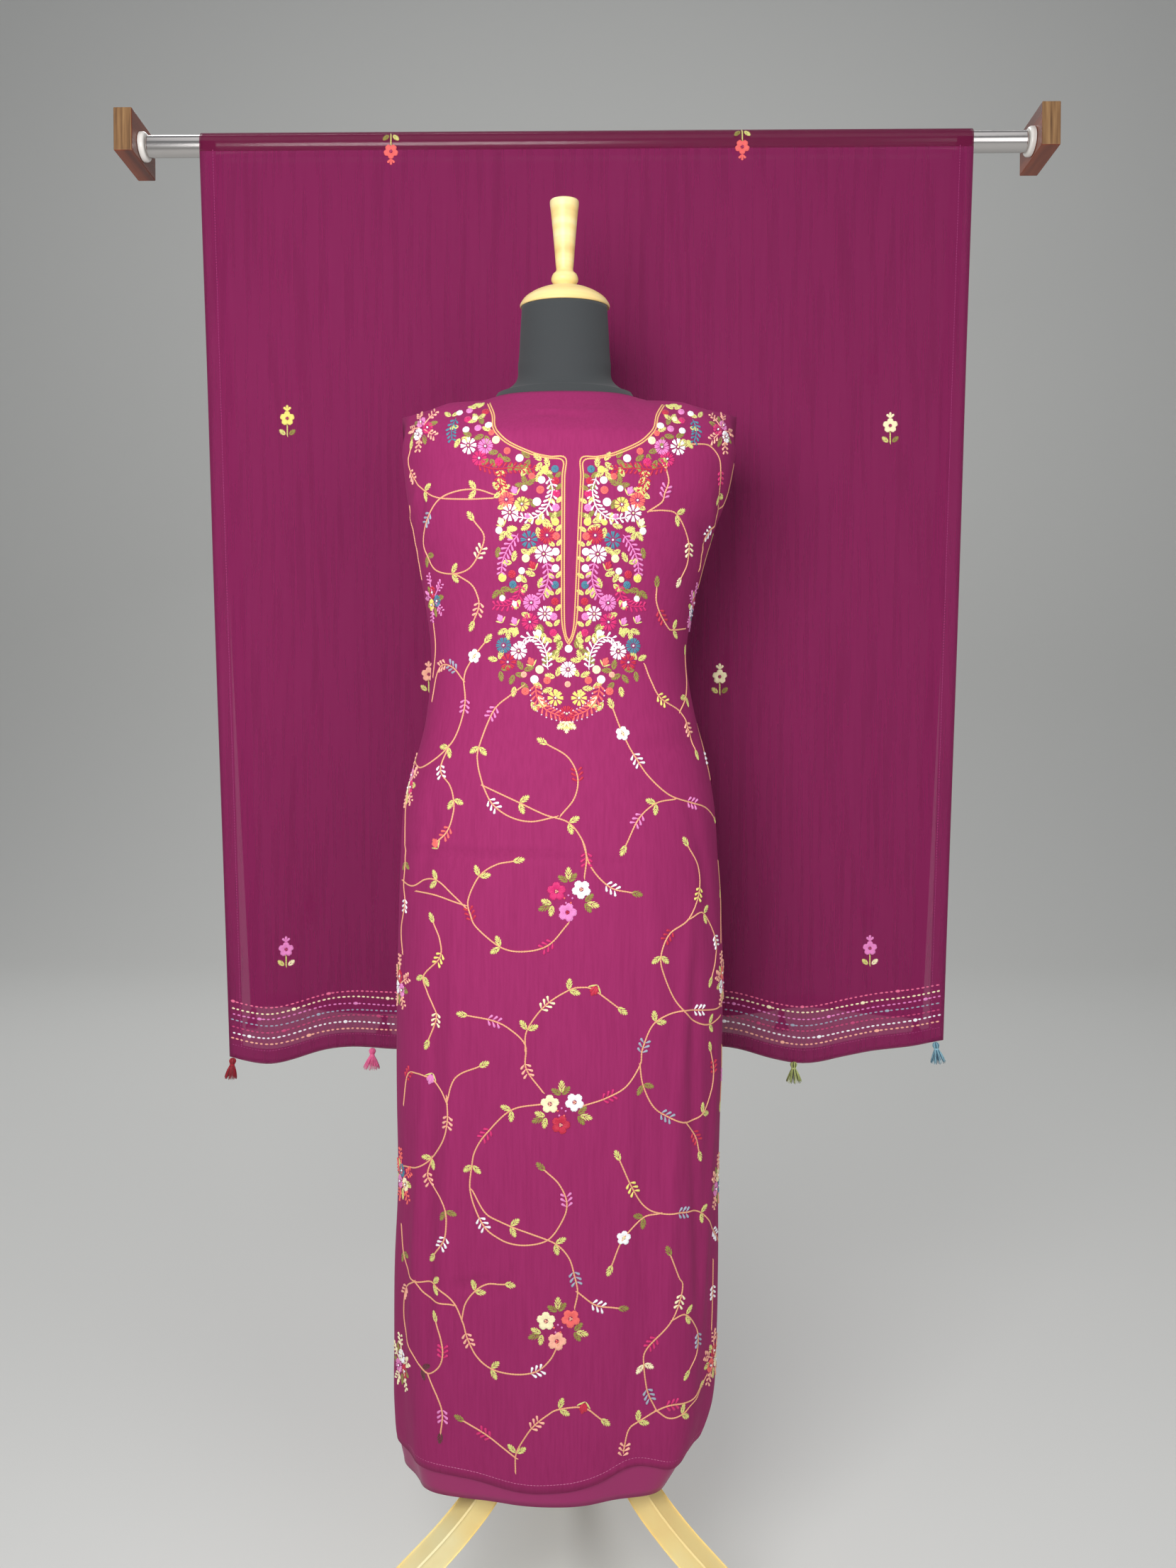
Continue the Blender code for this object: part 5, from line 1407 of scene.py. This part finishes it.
def rope(needle, thread, points, pitch=0.0027, slant=0.00070, width=0.00135):
    """A twisted stem: short slanted stitches one after another along a path."""
    path, shares = smooth_path(points, pitch)
    steps = np.gradient(path)
    steps = steps / np.maximum(np.abs(steps), 1e-9)
    for place, step in zip(path, steps):
        reach = step * 0.92 * pitch
        side = step * 1j * slant
        needle.stitch(thread, place - reach - side, place + reach + side, width, 0.0011)
    return path, shares, steps


def leaf(needle, thread, place, step, length=0.0124, plump=0.29):
    """A leaf of slanted satin stitches either side of its middle, with a pointed tip."""
    half = plump * length
    for root, end, reach in LEAF_STITCHES:
        for side in (-1j, 1j):
            needle.stitch(thread, place + step * length * root,
                          place + step * (length * end + side * half * reach),
                          0.0016, 0.0008)
    needle.stitch(thread, place + step * length * 0.60, place + step * length, 0.0016, 0.0009)


def leaves(needle, thread, place, step, count=2, length=0.0116):
    """Two or three leaves from one place, one to each side of the way the stem grows."""
    for turn in ((-42.0, 58.0), (-62.0, 4.0, 66.0))[count - 2] if count > 1 else (0.0,):
        way = step * unit(turn)
        leaf(needle, thread, place + way * 0.0012, way, length)


def spray(needle, thread, place, step, size=1.0):
    """Three pairs of small oval buds on a stem."""
    for k in (-1, 0, 1):
        root = place + step * k * 0.0050 * size
        for side in (-1.0, 1.0):
            way = step * complex(math.cos(0.92), side * math.sin(0.92))
            reach = (0.0078 - 0.0005 * abs(k)) * size
            needle.stitch(thread, root + way * 0.0006, root + way * reach, 0.0027 * size, 0.0015, 1.0,
                          0.0002)


def daisy(needle, thread, place, size, centre="white", petals=9):
    """A daisy of looped petals: two stitches for each, round a knot."""
    for k in range(petals):
        for side in (-1.0, 1.0):
            turn = math.radians(360.0 * k / petals + side * 7.5)
            way = complex(math.cos(turn), math.sin(turn))
            needle.stitch(thread, place + way * 0.12 * size, place + way * 0.5 * size, 0.125 * size, 0.0013,
                          1.0)
    knot(needle, centre, place, 0.0024)


def knot(needle, thread, place, size):
    """A small round knot or bead."""
    for way in (1.0, 1j):
        needle.stitch(thread, place - way * 0.5 * size, place + way * 0.5 * size, size, 0.6 * size, 0.0,
                      0.0006)


def rose(needle, thread, place, size):
    """A round rose of stitches wound inwards."""
    for count, radius, base in ROSE_ROUNDS:
        for k in range(count):
            first = math.radians(360.0 * k / count + 40.0 * radius)
            last = first + 2.6 / count + 0.9
            a = place + radius * size * complex(math.cos(first), math.sin(first))
            b = place + radius * size * complex(math.cos(last), math.sin(last))
            needle.stitch(thread, a, b, 0.27 * size, 0.0013, 0.0, base)


def bud(needle, thread, place, step, size, cup="lime"):
    """A bud of three upright stitches in a two-leaved cup."""
    for side in (-0.22, 0.0, 0.22):
        shift = step * 1j * side * size
        needle.stitch(thread, place - step * 0.4 * size + shift * 0.5,
                      place + step * (0.5 - abs(side)) * size + shift,
                      0.34 * size, 0.0014, 0.8, 0.0003)
    for turn in (-50.0, 50.0):
        way = step * unit(turn)
        needle.stitch(cup, place - step * 0.5 * size, place - step * 0.5 * size + way * 0.75 * size, 0.0020,
                      0.0009)


def fern(needle, thread, points):
    """A feather of small oval buds along both sides of a curved stem."""
    path, _ = smooth_path(points, FERN_PITCH)
    steps = np.gradient(path)
    steps = steps / np.abs(steps)
    rope(needle, thread, points, width=0.0012)
    knotted = thread == "coral"
    for k, (place, step) in enumerate(zip(path, steps)):
        reach = FERN_REACH * (1.0 - 0.26 * abs(2.0 * k / (len(path) - 1) - 0.8))
        for side in (-1.0, 1.0):
            way = step * complex(math.cos(0.9), side * math.sin(0.9))
            needle.stitch(thread, place + way * 0.0004, place + way * reach, 0.0026, 0.0014, 1.0)
            if knotted:
                knot(needle, "pearl", place + way * (reach + 0.0006), 0.0019)


def flower(needle, thread, place, turn_degrees, size=0.0185, centre="peach"):
    """A five-petalled flower of satin stitches fanned out from its middle."""
    for petal in range(5):
        middle = turn_degrees + 72.0 * petal
        for k in range(-3, 4):
            turn = math.radians(middle + 9.5 * k)
            reach = 0.5 * size * PETAL_REACH[abs(k)]
            way = complex(math.cos(turn), math.sin(turn))
            needle.stitch(thread, place + way * 0.10 * size, place + way * reach, 0.118 * size, 0.0015, 1.0)
    for k in range(3):
        way = complex(math.cos(2.1 * k), math.sin(2.1 * k))
        knot(needle, centre, place + way * 0.0011, 0.0018)


def grow(needle, growth, place, step, first):
    """What a vine's table names at one of its places; a first growth points back past the vine's start."""
    if not growth:
        return
    thread, kind = growth.split()
    if kind == "leaves":
        leaves(needle, thread, place, step)
    elif kind == "leaf":
        leaf(needle, thread, place, -step if first else step)
    elif kind == "spray":
        spray(needle, thread, place, step)
    elif kind == "bud":
        bud(needle, thread, place, step * -1j, 0.013)
    elif kind == "rose":
        flower(needle, thread, place, 10.0, 0.015, "cream")


def make_vines(needle):
    """The stems over the front length with what grows on them."""
    for vine in VINES:
        points = [complex(s, z) * MM for s, z, growth in vine]
        path, shares, steps = rope(needle, "stem", points)
        for n, ((s, z, growth), share) in enumerate(zip(vine, shares)):
            step = steps[int(round(share * (len(path) - 1)))]
            grow(needle, growth, complex(s, z) * MM, step, n == 0)


def make_bouquets(needle):
    """Groups of three large flowers with leaves."""
    for s, z, left, right, lower in BOUQUETS:
        middle = complex(s, z) * MM
        for ds, dz, degrees, thread in BOUQUET_LEAVES:
            foot = middle + complex(ds, dz) * MM
            leaves(needle, "olive" if thread == "lime" else "lime", foot, turned(degrees), 2, 0.0115)
            leaf(needle, thread, foot + turned(degrees) * 0.003, turned(degrees), 0.0130)
        for (ds, dz, turn), thread in zip(BOUQUET_FLOWERS, (left, right, lower)):
            centre = "coral" if thread == "peach" else "crimson" if thread == "orchid" else "peach"
            flower(needle, thread, middle + complex(ds, dz) * MM, turn, 0.0195, centre)
        for k in range(5):
            knot(needle, "coral" if k % 2 else "orchid", middle + turned(72.0 * k) * 0.0042, 0.0022)


def make_clusters(needle):
    """Groups of daisies with small sprays round them."""
    for s, z, degrees, size, daisies, spray_thread, leaf_thread in CLUSTERS:
        middle = complex(s, z) * MM
        for turn, reach in ((60.0, 0.018), (-60.0, 0.019), (150.0, 0.019), (-145.0, 0.018), (5.0, 0.024)):
            way = turned(degrees + turn)
            rope(needle, spray_thread, [middle + way * 0.006, middle + way * reach * size])
            spray(needle, spray_thread, middle + way * reach * size, way, 0.9 * size)
        for turn in (95.0, -100.0, 180.0, 30.0):
            leaf(needle, leaf_thread, middle + turned(degrees + turn) * 0.010 * size,
                 turned(degrees + turn), 0.0125 * size)
        for turn, thread in zip((0.0, 120.0, -120.0), daisies):
            daisy(needle, thread, middle + turned(degrees + turn) * 0.0088 * size, 0.0150 * size)


def yoke_place(sign, u, z):
    """A place on the yoke from a distance (mm) to one side of its middle line and a height (mm)."""
    middle = YOKE_TOP[0] - YOKE_LEAN * (YOKE_TOP[1] - MM * z)
    return complex(middle + sign * MM * u, MM * z)


def make_yoke(needle):
    """The dense work round the front slit, the same on both sides of its middle line."""
    for sign in (-1.0, 1.0):
        for shift in (0.0, 2.6):
            points = []
            for n, (u, z) in enumerate(YOKE_CORD):
                outward = (0.8, -0.6) if z > 1272 else (1.0, -1.0) if n == 7 else (1.0,
                        0.0) if n < 12 else (0.4, -0.9)
                points.append(yoke_place(sign, u + shift * outward[0], z + shift * outward[1]))
            rope(needle, "cord", points, 0.0021, 0.0006 * (1 if shift else -1), 0.0014)
        for u, z, thread, leaf_thread in YOKE_DOTS:
            rose(needle, thread, yoke_place(sign, u, z), 0.0092)
            leaves(needle, leaf_thread, yoke_place(sign, u, z - 10.0), 1j, 2, 0.0084)
        for thread, *path in YOKE_FERNS:
            fern(needle, thread, [yoke_place(sign, u, z) for u, z in path])
        for u, z, degrees, thread, count in YOKE_LEAVES:
            leaves(needle, thread, yoke_place(sign, u, z), turned(-sign * degrees), count, 0.0110)
        for n, (u, z, kind, thread, size) in enumerate(YOKE_FLOWERS):
            place = yoke_place(sign, u, z)
            if kind == "rose":
                rose(needle, thread, place, 0.00108 * size)
            elif kind == "bud":
                bud(needle, thread, place, turned(-sign * 25.0), 0.00115 * size)
            else:
                daisy(needle, thread, place, 0.00112 * size, "white" if thread != "white"
                      else "cream", 8 + n % 3)
    for z, kind, thread, size in YOKE_MIDDLE:
        place = yoke_place(1.0, 0.0, z)
        if kind == "rose":
            rose(needle, thread, place, 0.001 * size)
        else:
            daisy(needle, thread, place, 0.001 * size, "cream", 10)
    for degrees in (180.0, 128.0, -128.0):
        leaf(needle, "cream", yoke_place(1.0, 0.0, 1009), turned(degrees), 0.0125)


HEM_LEVELS = (0.216, 0.226, 0.236, 0.246, 0.254)
SHOULDER_STEP = 0.004
SHOULDER_MAP_TOP_Z = 1.3765


def front_surface(rows, shaped):
    """The front length as a surface over s and z; above the last level ring, s is carried straight up."""
    wanted = np.arange(-MAP_HALF, MAP_HALF + 0.5 * MAP_STEP, MAP_STEP)
    first = HEM_ROWS - 1
    last = rows.shape[0] - SHOULDER_ROWS - 1
    columns = fine_columns()
    levels, lines = [], []
    for z in HEM_LEVELS:
        line = ring(-1, columns * 90.0 / SIDE_COLUMNS, np.full(len(columns), z))[None]
        levels.append(z)
        lines.append((arc_places(line)[0], creased(line.repeat(3, axis=0), -1, ())[1]))
    places = arc_places(rows)
    for r in range(first, last + 1):
        levels.append(rows[r, 0, 2])
        lines.append((places[r], shaped[r]))
    grid = [[np.interp(wanted, s, line[:, k]) for k in range(3)] for s, line in lines]
    grid = np.array(grid).transpose(0, 2, 1)
    count = shaped.shape[1]
    tree_points = [tuple(p) for p in shaped.reshape(-1, 3)]
    a = (np.arange(shaped.shape[0] - 1)[:, None] * count + np.arange(count - 1)).ravel()
    quads = np.stack((a, a + 1, a + 1 + count, a + count), axis=1).tolist()
    tree = BVHTree.FromPolygons(tree_points, quads)
    across = np.interp(wanted, places[last], rows[last, :, 0])
    upper = []
    for z in np.arange(SHOULDER_FOOT_Z + SHOULDER_STEP, SHOULDER_MAP_TOP_Z, SHOULDER_STEP):
        line = []
        for n, x in enumerate(across):
            hit = tree.ray_cast(Vector((x, -1.0, z)), Vector((0.0, 1.0, 0.0)), 2.0)[0]
            if hit is None:
                previous = upper[-1][n] if upper else grid[-1][n]
                hit = tree.find_nearest(Vector((x, previous[1], z)))[0]
            line.append(tuple(hit))
        upper.append(line)
        levels.append(z)
    grid = np.concatenate((grid, np.array(upper)))
    return Surface(wanted, np.array(levels), grid + FORM_PLACE, grid_normals(grid, -1))


def fall_surface(side):
    """One fall of the dupatta as a surface; s runs to the right of someone who faces that fall."""
    half = FALL_TOP_HALF + 0.002
    wanted = np.arange(-half, half, 2.0 * MAP_STEP)
    x = -side * wanted
    low = float(np.min(fall_hem_z(side, x))) - 0.004
    levels, lines = [], []
    for z in np.linspace(low, ROD_Z, FALL_ROWS):
        down = (ROD_Z - z) / (ROD_Z - fall_hem_z(side, x))
        levels.append(z)
        lines.append(fall_points(side, x / fall_half(side, down), down))
    for turn in np.linspace(0.0, 0.5 * math.pi, ARC_ROWS)[1:]:
        y = ROD_Y + side * max(FALL_RADIUS * math.cos(turn), FALL_SEAM)
        z = ROD_Z + FALL_RADIUS * math.sin(turn)
        levels.append(z)
        lines.append(np.stack((x, np.full(len(x), y), np.full(len(x), z)), axis=-1))
    grid = np.array(lines)
    return Surface(wanted, np.array(levels), grid, grid_normals(grid, -1))


def running_lines(needle, side):
    """Rows of running stitches above a fall's lower hem, with thicker slubs here and there."""
    end = fall_half(side, 1.0) - 0.002
    for line, (thread, width) in enumerate(RUNNING_LINES):
        height = RUNNING_TOP - line * RUNNING_PITCH
        starts = np.arange(-end + 0.0013 * (line % 3), end - 0.005, RUNNING_STEP)
        for k, start in enumerate(starts):
            slub = (7 * k + 11 * line) % 19 == 0
            length = 0.0041 + 0.0006 * math.sin(1.7 * k + 2.3 * line) + (0.0018 if slub else 0.0)
            ends = []
            for s in (start, min(start + length, end)):
                z = float(fall_hem_z(side, -side * s)) + height + 0.0007 * math.sin(23.0 * s + 1.9 * line)
                ends.append(complex(s, z))
            needle.stitch(thread, ends[0], ends[1], width * (1.9 if slub else 1.0), 0.0011)


def fall_hem_stitches(needle, side):
    """The fine stitches that hold a fall's turned hems."""
    side_steps = np.arange(0.01, 0.985, 0.0034 / (ROD_Z - MIDDLE_HEM_Z))
    inset = HEM_STRIP - 0.0016
    for sign in (-1.0, 1.0):
        for down in side_steps:
            ends = []
            for part in (down, down + 0.0024 / (ROD_Z - MIDDLE_HEM_Z)):
                s = sign * (fall_half(side, part) - inset)
                ends.append(complex(s, ROD_Z - (ROD_Z - float(fall_hem_z(side, -side * s))) * part))
            needle.stitch("seam", ends[0], ends[1], 0.0008, 0.0004)
    end = fall_half(side, 1.0) - 0.004
    for start in np.arange(-end, end, 0.0036):
        ends = [complex(s, float(fall_hem_z(side, -side * s)) + inset) for s in (start, start + 0.0024)]
        needle.stitch("seam", ends[0], ends[1], 0.0008, 0.0004)


POSY_SIZE = 0.0182
POSY_BUD_FOOT = 0.0088
POSY_STEM_TOP = 0.0092
POSY_STEM_FOOT = 0.0205
POSY_LEAF_DEG = 48.0
POSY_BUD = (
    # degrees, length
    (40.0, 0.0068),
    (0.0, 0.0078),
    (-40.0, 0.0068),
)


def posy(needle, thread, place, step):
    """A motif of the dupatta: a flower with a small bud over it and two leaves under it."""
    flower(needle, thread, place, math.degrees(math.atan2(step.imag, step.real)), POSY_SIZE, "rosy")
    foot = place + step * POSY_BUD_FOOT
    for degrees, length in POSY_BUD:
        way = step * unit(degrees)
        needle.stitch(thread, foot, foot + way * length, 0.0034, 0.0014, 1.0)
    rope(needle, "lime", [place - step * POSY_STEM_TOP, place - step * POSY_STEM_FOOT])
    for side, leaf_thread in ((1.0, "lime"), (-1.0, "cream" if thread == "orchid" else "olive")):
        way = step * unit(side * POSY_LEAF_DEG)
        leaf(needle, leaf_thread, place - step * 0.0200 + step * 1j * side * 0.0026, way, 0.0098, 0.32)


def make_dupatta_stitching(materials):
    """Running stitches, motifs and hem stitches of both falls."""
    made = {}
    for side, word, posies in ((-1, "dupatta_front", FRONT_POSIES), (1, "dupatta_back", BACK_POSIES)):
        needle = Needle(fall_surface(side), word)
        running_lines(needle, side)
        fall_hem_stitches(needle, side)
        for x, z, up, thread in posies:
            posy(needle, thread, complex(-side * x, z), 1j * up)
        made[side] = needle.finish(materials)
    return made


def hem_stitching(needle):
    """A fine line of stitches a little above the front length's hem."""
    columns = fine_columns()
    degrees = columns * 90.0 / SIDE_COLUMNS
    line = ring(-1, degrees, np.full(len(columns), 0.235))[None]
    s = arc_places(line)[0]
    hem = smooth(OUTER_HEM, degrees, 1)
    for place in np.arange(-0.195, 0.178, 0.0034):
        ends = [complex(p, float(np.interp(p, s, hem)) + 0.009) for p in (place, place + 0.0029)]
        needle.stitch("hem", ends[0], ends[1], 0.0007, 0.0004)


def thread_materials():
    """One material for each thread."""
    made = {name: make_material("thread_" + name, colour, 0.55, sheen=0.15) for name, colour in THREADS}
    made["hem"] = make_material("thread_hem", (206, 120, 160), 0.6)
    made["seam"] = make_material("thread_seam", (168, 66, 124), 0.7)
    return made


def make_embroidery(grids, materials):
    """All thread work of the front length."""
    needle = Needle(front_surface(*grids[-1]), "kameez")
    make_vines(needle)
    make_bouquets(needle)
    make_clusters(needle)
    make_yoke(needle)
    hem_stitching(needle)
    return needle.finish(materials)


def make_tassel(name, x, lean_degrees, spread, materials):
    """A tassel of fine threads gathered into a head, with a binding at its neck."""
    low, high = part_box(name)
    top = np.array((x, 0.5 * (low.y + high.y), high.z))
    lean = math.radians(lean_degrees)
    down = np.array((math.sin(lean), 0.0, -math.cos(lean)))
    level = np.array((math.cos(lean), 0.0, math.sin(lean)))
    back = np.array((0.0, 1.0, 0.0))
    line = np.array(STRAND_LINE)
    points, faces, tones = [], [], []
    for k in range(TASSEL_STRANDS):
        turn = GOLDEN_TURN * k
        inner = 1.0 - 0.45 * ((5 * k) % 7) / 6.0 * (k % 2)
        longer = 1.0 - 0.07 * ((3 * k) % 5) / 4.0
        wave = 0.0006 * math.sin(2.7 * k)
        first = len(points)
        for n, (radius, share, z) in enumerate(line):
            out = (radius + share * spread) * inner
            turned_by = turn + share * wave * 260.0
            centre = (top + (level * math.cos(turned_by) + back * math.sin(turned_by)) * out
                      - down * z * (longer if n > 5 else 1.0))
            for corner in range(3):
                around = turned_by + 2.0 * math.pi * corner / 3.0
                slim = STRAND_RADIUS * (0.6 if n in (0, len(line) - 1) else 1.0)
                points.append(centre + (level * math.cos(around) + back * math.sin(around)) * slim)
        for n in range(len(line) - 1):
            for corner in range(3):
                following = (corner + 1) % 3
                a, b = first + 3 * n, first + 3 * n + 3
                faces.append((a + corner, b + corner, b + following, a + following))
                tones.append(1 if k % 3 == 1 else 0)
        faces += [(first, first + 1, first + 2), (len(points) - 1, len(points) - 2, len(points) - 3)]
        tones += [0, 0]
    for wrap in range(3):
        first = len(points)
        for i in range(BINDING_CORNERS):
            turn = 2.0 * math.pi * i / BINDING_CORNERS
            way = level * math.cos(turn) + back * math.sin(turn)
            centre = top + down * (0.0079 + 0.0007 * wrap)
            for corner in range(4):
                around = 0.5 * math.pi * corner
                points.append(centre + way * (0.0026 + 0.0005 * math.cos(around))
                              + down * 0.0005 * math.sin(around))
        for i in range(BINDING_CORNERS):
            j = (i + 1) % BINDING_CORNERS
            for corner in range(4):
                following = (corner + 1) % 4
                faces.append((first + 4 * i + corner, first + 4 * j + corner,
                              first + 4 * j + following, first + 4 * i + following))
                tones.append(0)
    obj = mesh_object(name + "_strands", points, faces, materials[0])
    obj.data.materials.append(materials[1])
    obj.data.polygons.foreach_set("material_index", tones)
    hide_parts(name)
    return obj


def make_tassels():
    """Six tassels on each of the dupatta's short hems."""
    materials = {}
    for thread, main, second in TASSEL_THREADS:
        materials[thread] = [make_material("tassel_" + thread + "_" + word, colour, 0.6, sheen=0.1)
                             for word, colour in (("main", main), ("second", second))]
    made = {-1: [], 1: []}
    for number, (x, lean, spread, front_thread, back_thread) in enumerate(TASSELS, 1):
        for side, word, thread in ((-1, "front", front_thread), (1, "back", back_thread)):
            at = x * fall_half(side, 1.0) / FALL_BOTTOM_HALF
            made[side].append(make_tassel("tassel_{}_{}".format(word, number), at, lean, spread,
                                          materials[thread]))
    return made


def make_rod():
    """The chrome rod with its white flanges and glossy wooden blocks."""
    chrome = make_material("chrome", (206, 202, 200), 0.20, metallic=1.0)
    enamel = make_material("enamel", (238, 234, 228), 0.22)
    end_grain = make_material("block_end_grain", (136, 98, 60), 0.5)
    add_tone(end_grain, ((0.28, (92, 62, 36)), (0.5, (134, 97, 60)), (0.74, (166, 128, 84))), 260.0,
             (1.0, 1.0, 0.05), 4.0)
    veneer = make_material("block_veneer", (120, 54, 32), 0.26)
    add_tone(veneer, ((0.25, (84, 34, 20)), (0.5, (118, 52, 30)), (0.78, (150, 74, 44))), 60.0,
             (1.0, 0.08, 1.0), 4.0)
    low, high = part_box("rod")
    profile = ((ROD_RADIUS - 0.0006, low.x), (ROD_RADIUS, low.x + 0.0006), (ROD_RADIUS, low.x + 0.0030),
               (ROD_RADIUS, high.x - 0.0030), (ROD_RADIUS, high.x - 0.0006), (ROD_RADIUS - 0.0006, high.x))
    rod = lathe("rod_chrome", profile, (0.0, ROD_Y, ROD_Z), chrome, axis="X", shares=(0.0,))
    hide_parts("rod")
    for sign, word in ((-1.0, "left"), (1.0, "right")):
        low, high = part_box("flange_" + word)
        inner, outer = (high.x, low.x) if sign < 0 else (low.x, high.x)
        profile = [(FLANGE_RADIUS - rim, inner + sign * depth) for rim, depth in FLANGE_EDGE]
        profile.append((FLANGE_RADIUS, outer))
        if sign < 0:
            profile.reverse()
        flange = lathe("flange_" + word + "_enamel", profile, (0.0, ROD_Y, ROD_Z), enamel, axis="X")
        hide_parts("flange_" + word)
        low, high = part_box("block_" + word)
        points = [(x, y, z) for x in (low.x, high.x) for y in (low.y, high.y) for z in (low.z, high.z)]
        faces = [(0, 1, 3, 2), (4, 6, 7, 5), (0, 4, 5, 1), (2, 3, 7, 6), (0, 2, 6, 4), (1, 5, 7, 3)]
        block = mesh_object("block_" + word + "_wood", points, faces, veneer)
        block.data.materials.append(end_grain)
        block.data.polygons.foreach_set("material_index", [0, 0, 1, 1, 0, 0])
        block.data.polygons.foreach_set("use_smooth", [False] * len(faces))
        edges = block.modifiers.new("edges", "BEVEL")
        edges.width = 0.0012
        edges.segments = 3
        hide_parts("block_" + word)


def make_pole(wood):
    """The pole and hub inside the form and skirt."""
    for name, profile in (("stand_pole", POLE_PROFILE), ("stand_hub", HUB_PROFILE)):
        obj = lathe(name + "_wood", profile, FORM_PLACE, wood)
        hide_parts(name)


LENS = 26.28
SENSOR = 36.0
CAMERA_PLACE = (0.0196, -1.3504, 0.969)
CAMERA_DOWN_DEG = 1.15
CAMERA_LEFT_DEG = 0.65
LIGHTS = (
    # name, place, aim, size, power
    ("key", (-0.40, -1.38, 1.38), (0.0, -0.1, 1.12), (0.8, 0.8), 19.5),
    ("fill", (1.7, -2.0, 1.4), (0.0, 0.0, 1.1), (1.6, 1.6), 15.0),
    ("top", (0.0, -1.0, 3.2), (0.0, 0.0, 0.8), (2.4, 1.6), 8.0),
    ("rear", (-1.2, 3.0, 4.6), (0.0, 0.0, 1.0), (2.0, 1.5), 55.0),
    ("backdrop", (0.0, 1.8, 5.0), (0.0, 5.5, 1.4), (6.0, 1.0), 48.0),
)
FLOOR_HALF = 9.0
FLOOR_FRONT_Y = -7.0
BACKDROP_Y = 5.5
BACKDROP_HEIGHT = 7.0
BACKDROP_RADIUS = 1.5
BACKDROP_STEPS = 12


def make_camera():
    """The photo's view: 1.26 m in front of the form's axis, at hip height, turned and tilted a little."""
    data = bpy.data.cameras.new("camera")
    data.lens = LENS
    data.sensor_width = SENSOR
    data.clip_start = 0.05
    camera = bpy.data.objects.new("camera", data)
    camera.location = CAMERA_PLACE
    camera.rotation_euler = (math.radians(90.0 - CAMERA_DOWN_DEG), 0.0, math.radians(CAMERA_LEFT_DEG))
    bpy.context.scene.collection.objects.link(camera)
    bpy.context.scene.camera = camera


def make_light(name, place, aim, size, power):
    """An area light at a place, turned to a point."""
    data = bpy.data.lights.new(name, "AREA")
    data.energy = power
    data.shape = "RECTANGLE"
    data.size, data.size_y = size
    light = bpy.data.objects.new(name, data)
    light.location = place
    light.rotation_euler = (Vector(aim) - Vector(place)).to_track_quat("-Z", "Y").to_euler()
    bpy.context.scene.collection.objects.link(light)


def make_studio():
    """A plain pale floor that curves up behind, and soft lights."""
    grey = make_material("floor_grey", (228, 228, 225), 0.9)
    bend_y = BACKDROP_Y - BACKDROP_RADIUS
    profile = [(FLOOR_FRONT_Y, 0.0), (bend_y, 0.0)]
    for step in range(1, BACKDROP_STEPS + 1):
        turn = 0.5 * math.pi * step / BACKDROP_STEPS
        profile.append((bend_y + BACKDROP_RADIUS * math.sin(turn), BACKDROP_RADIUS * (1.0 - math.cos(turn))))
    profile.append((BACKDROP_Y, BACKDROP_HEIGHT))
    points = np.array([[(x, y, z) for x in (-FLOOR_HALF, FLOOR_HALF)] for y, z in profile])
    mesh = bpy.data.meshes.new("floor")
    a = np.arange(len(profile) - 1) * 2
    faces = np.stack((a, a + 1, a + 3, a + 2), axis=1).tolist()
    mesh.from_pydata(points.reshape(-1, 3).tolist(), [], faces)
    mesh.polygons.foreach_set("use_smooth", [True] * len(faces))
    mesh.materials.append(grey)
    floor = bpy.data.objects.new("floor", mesh)
    bpy.context.scene.collection.objects.link(floor)
    for light in LIGHTS:
        make_light(*light)
    world = bpy.data.worlds.new("studio")
    bpy.context.scene.world = world
    world.use_nodes = True
    background = world.node_tree.nodes["Background"]
    background.inputs["Color"].default_value = (0.9, 0.92, 0.95, 1.0)
    background.inputs["Strength"].default_value = 0.25
    bpy.context.scene.view_settings.view_transform = "Standard"


kameez_grids = make_kameez()
threads = thread_materials()
embroidery = make_embroidery(kameez_grids, threads)
make_under_band()
make_form()
make_pole(make_turned_wood())
make_legs()
falls = make_dupatta()
fall_stitches = make_dupatta_stitching(threads)
tassels = make_tassels()
make_rod()
make_camera()
make_studio()
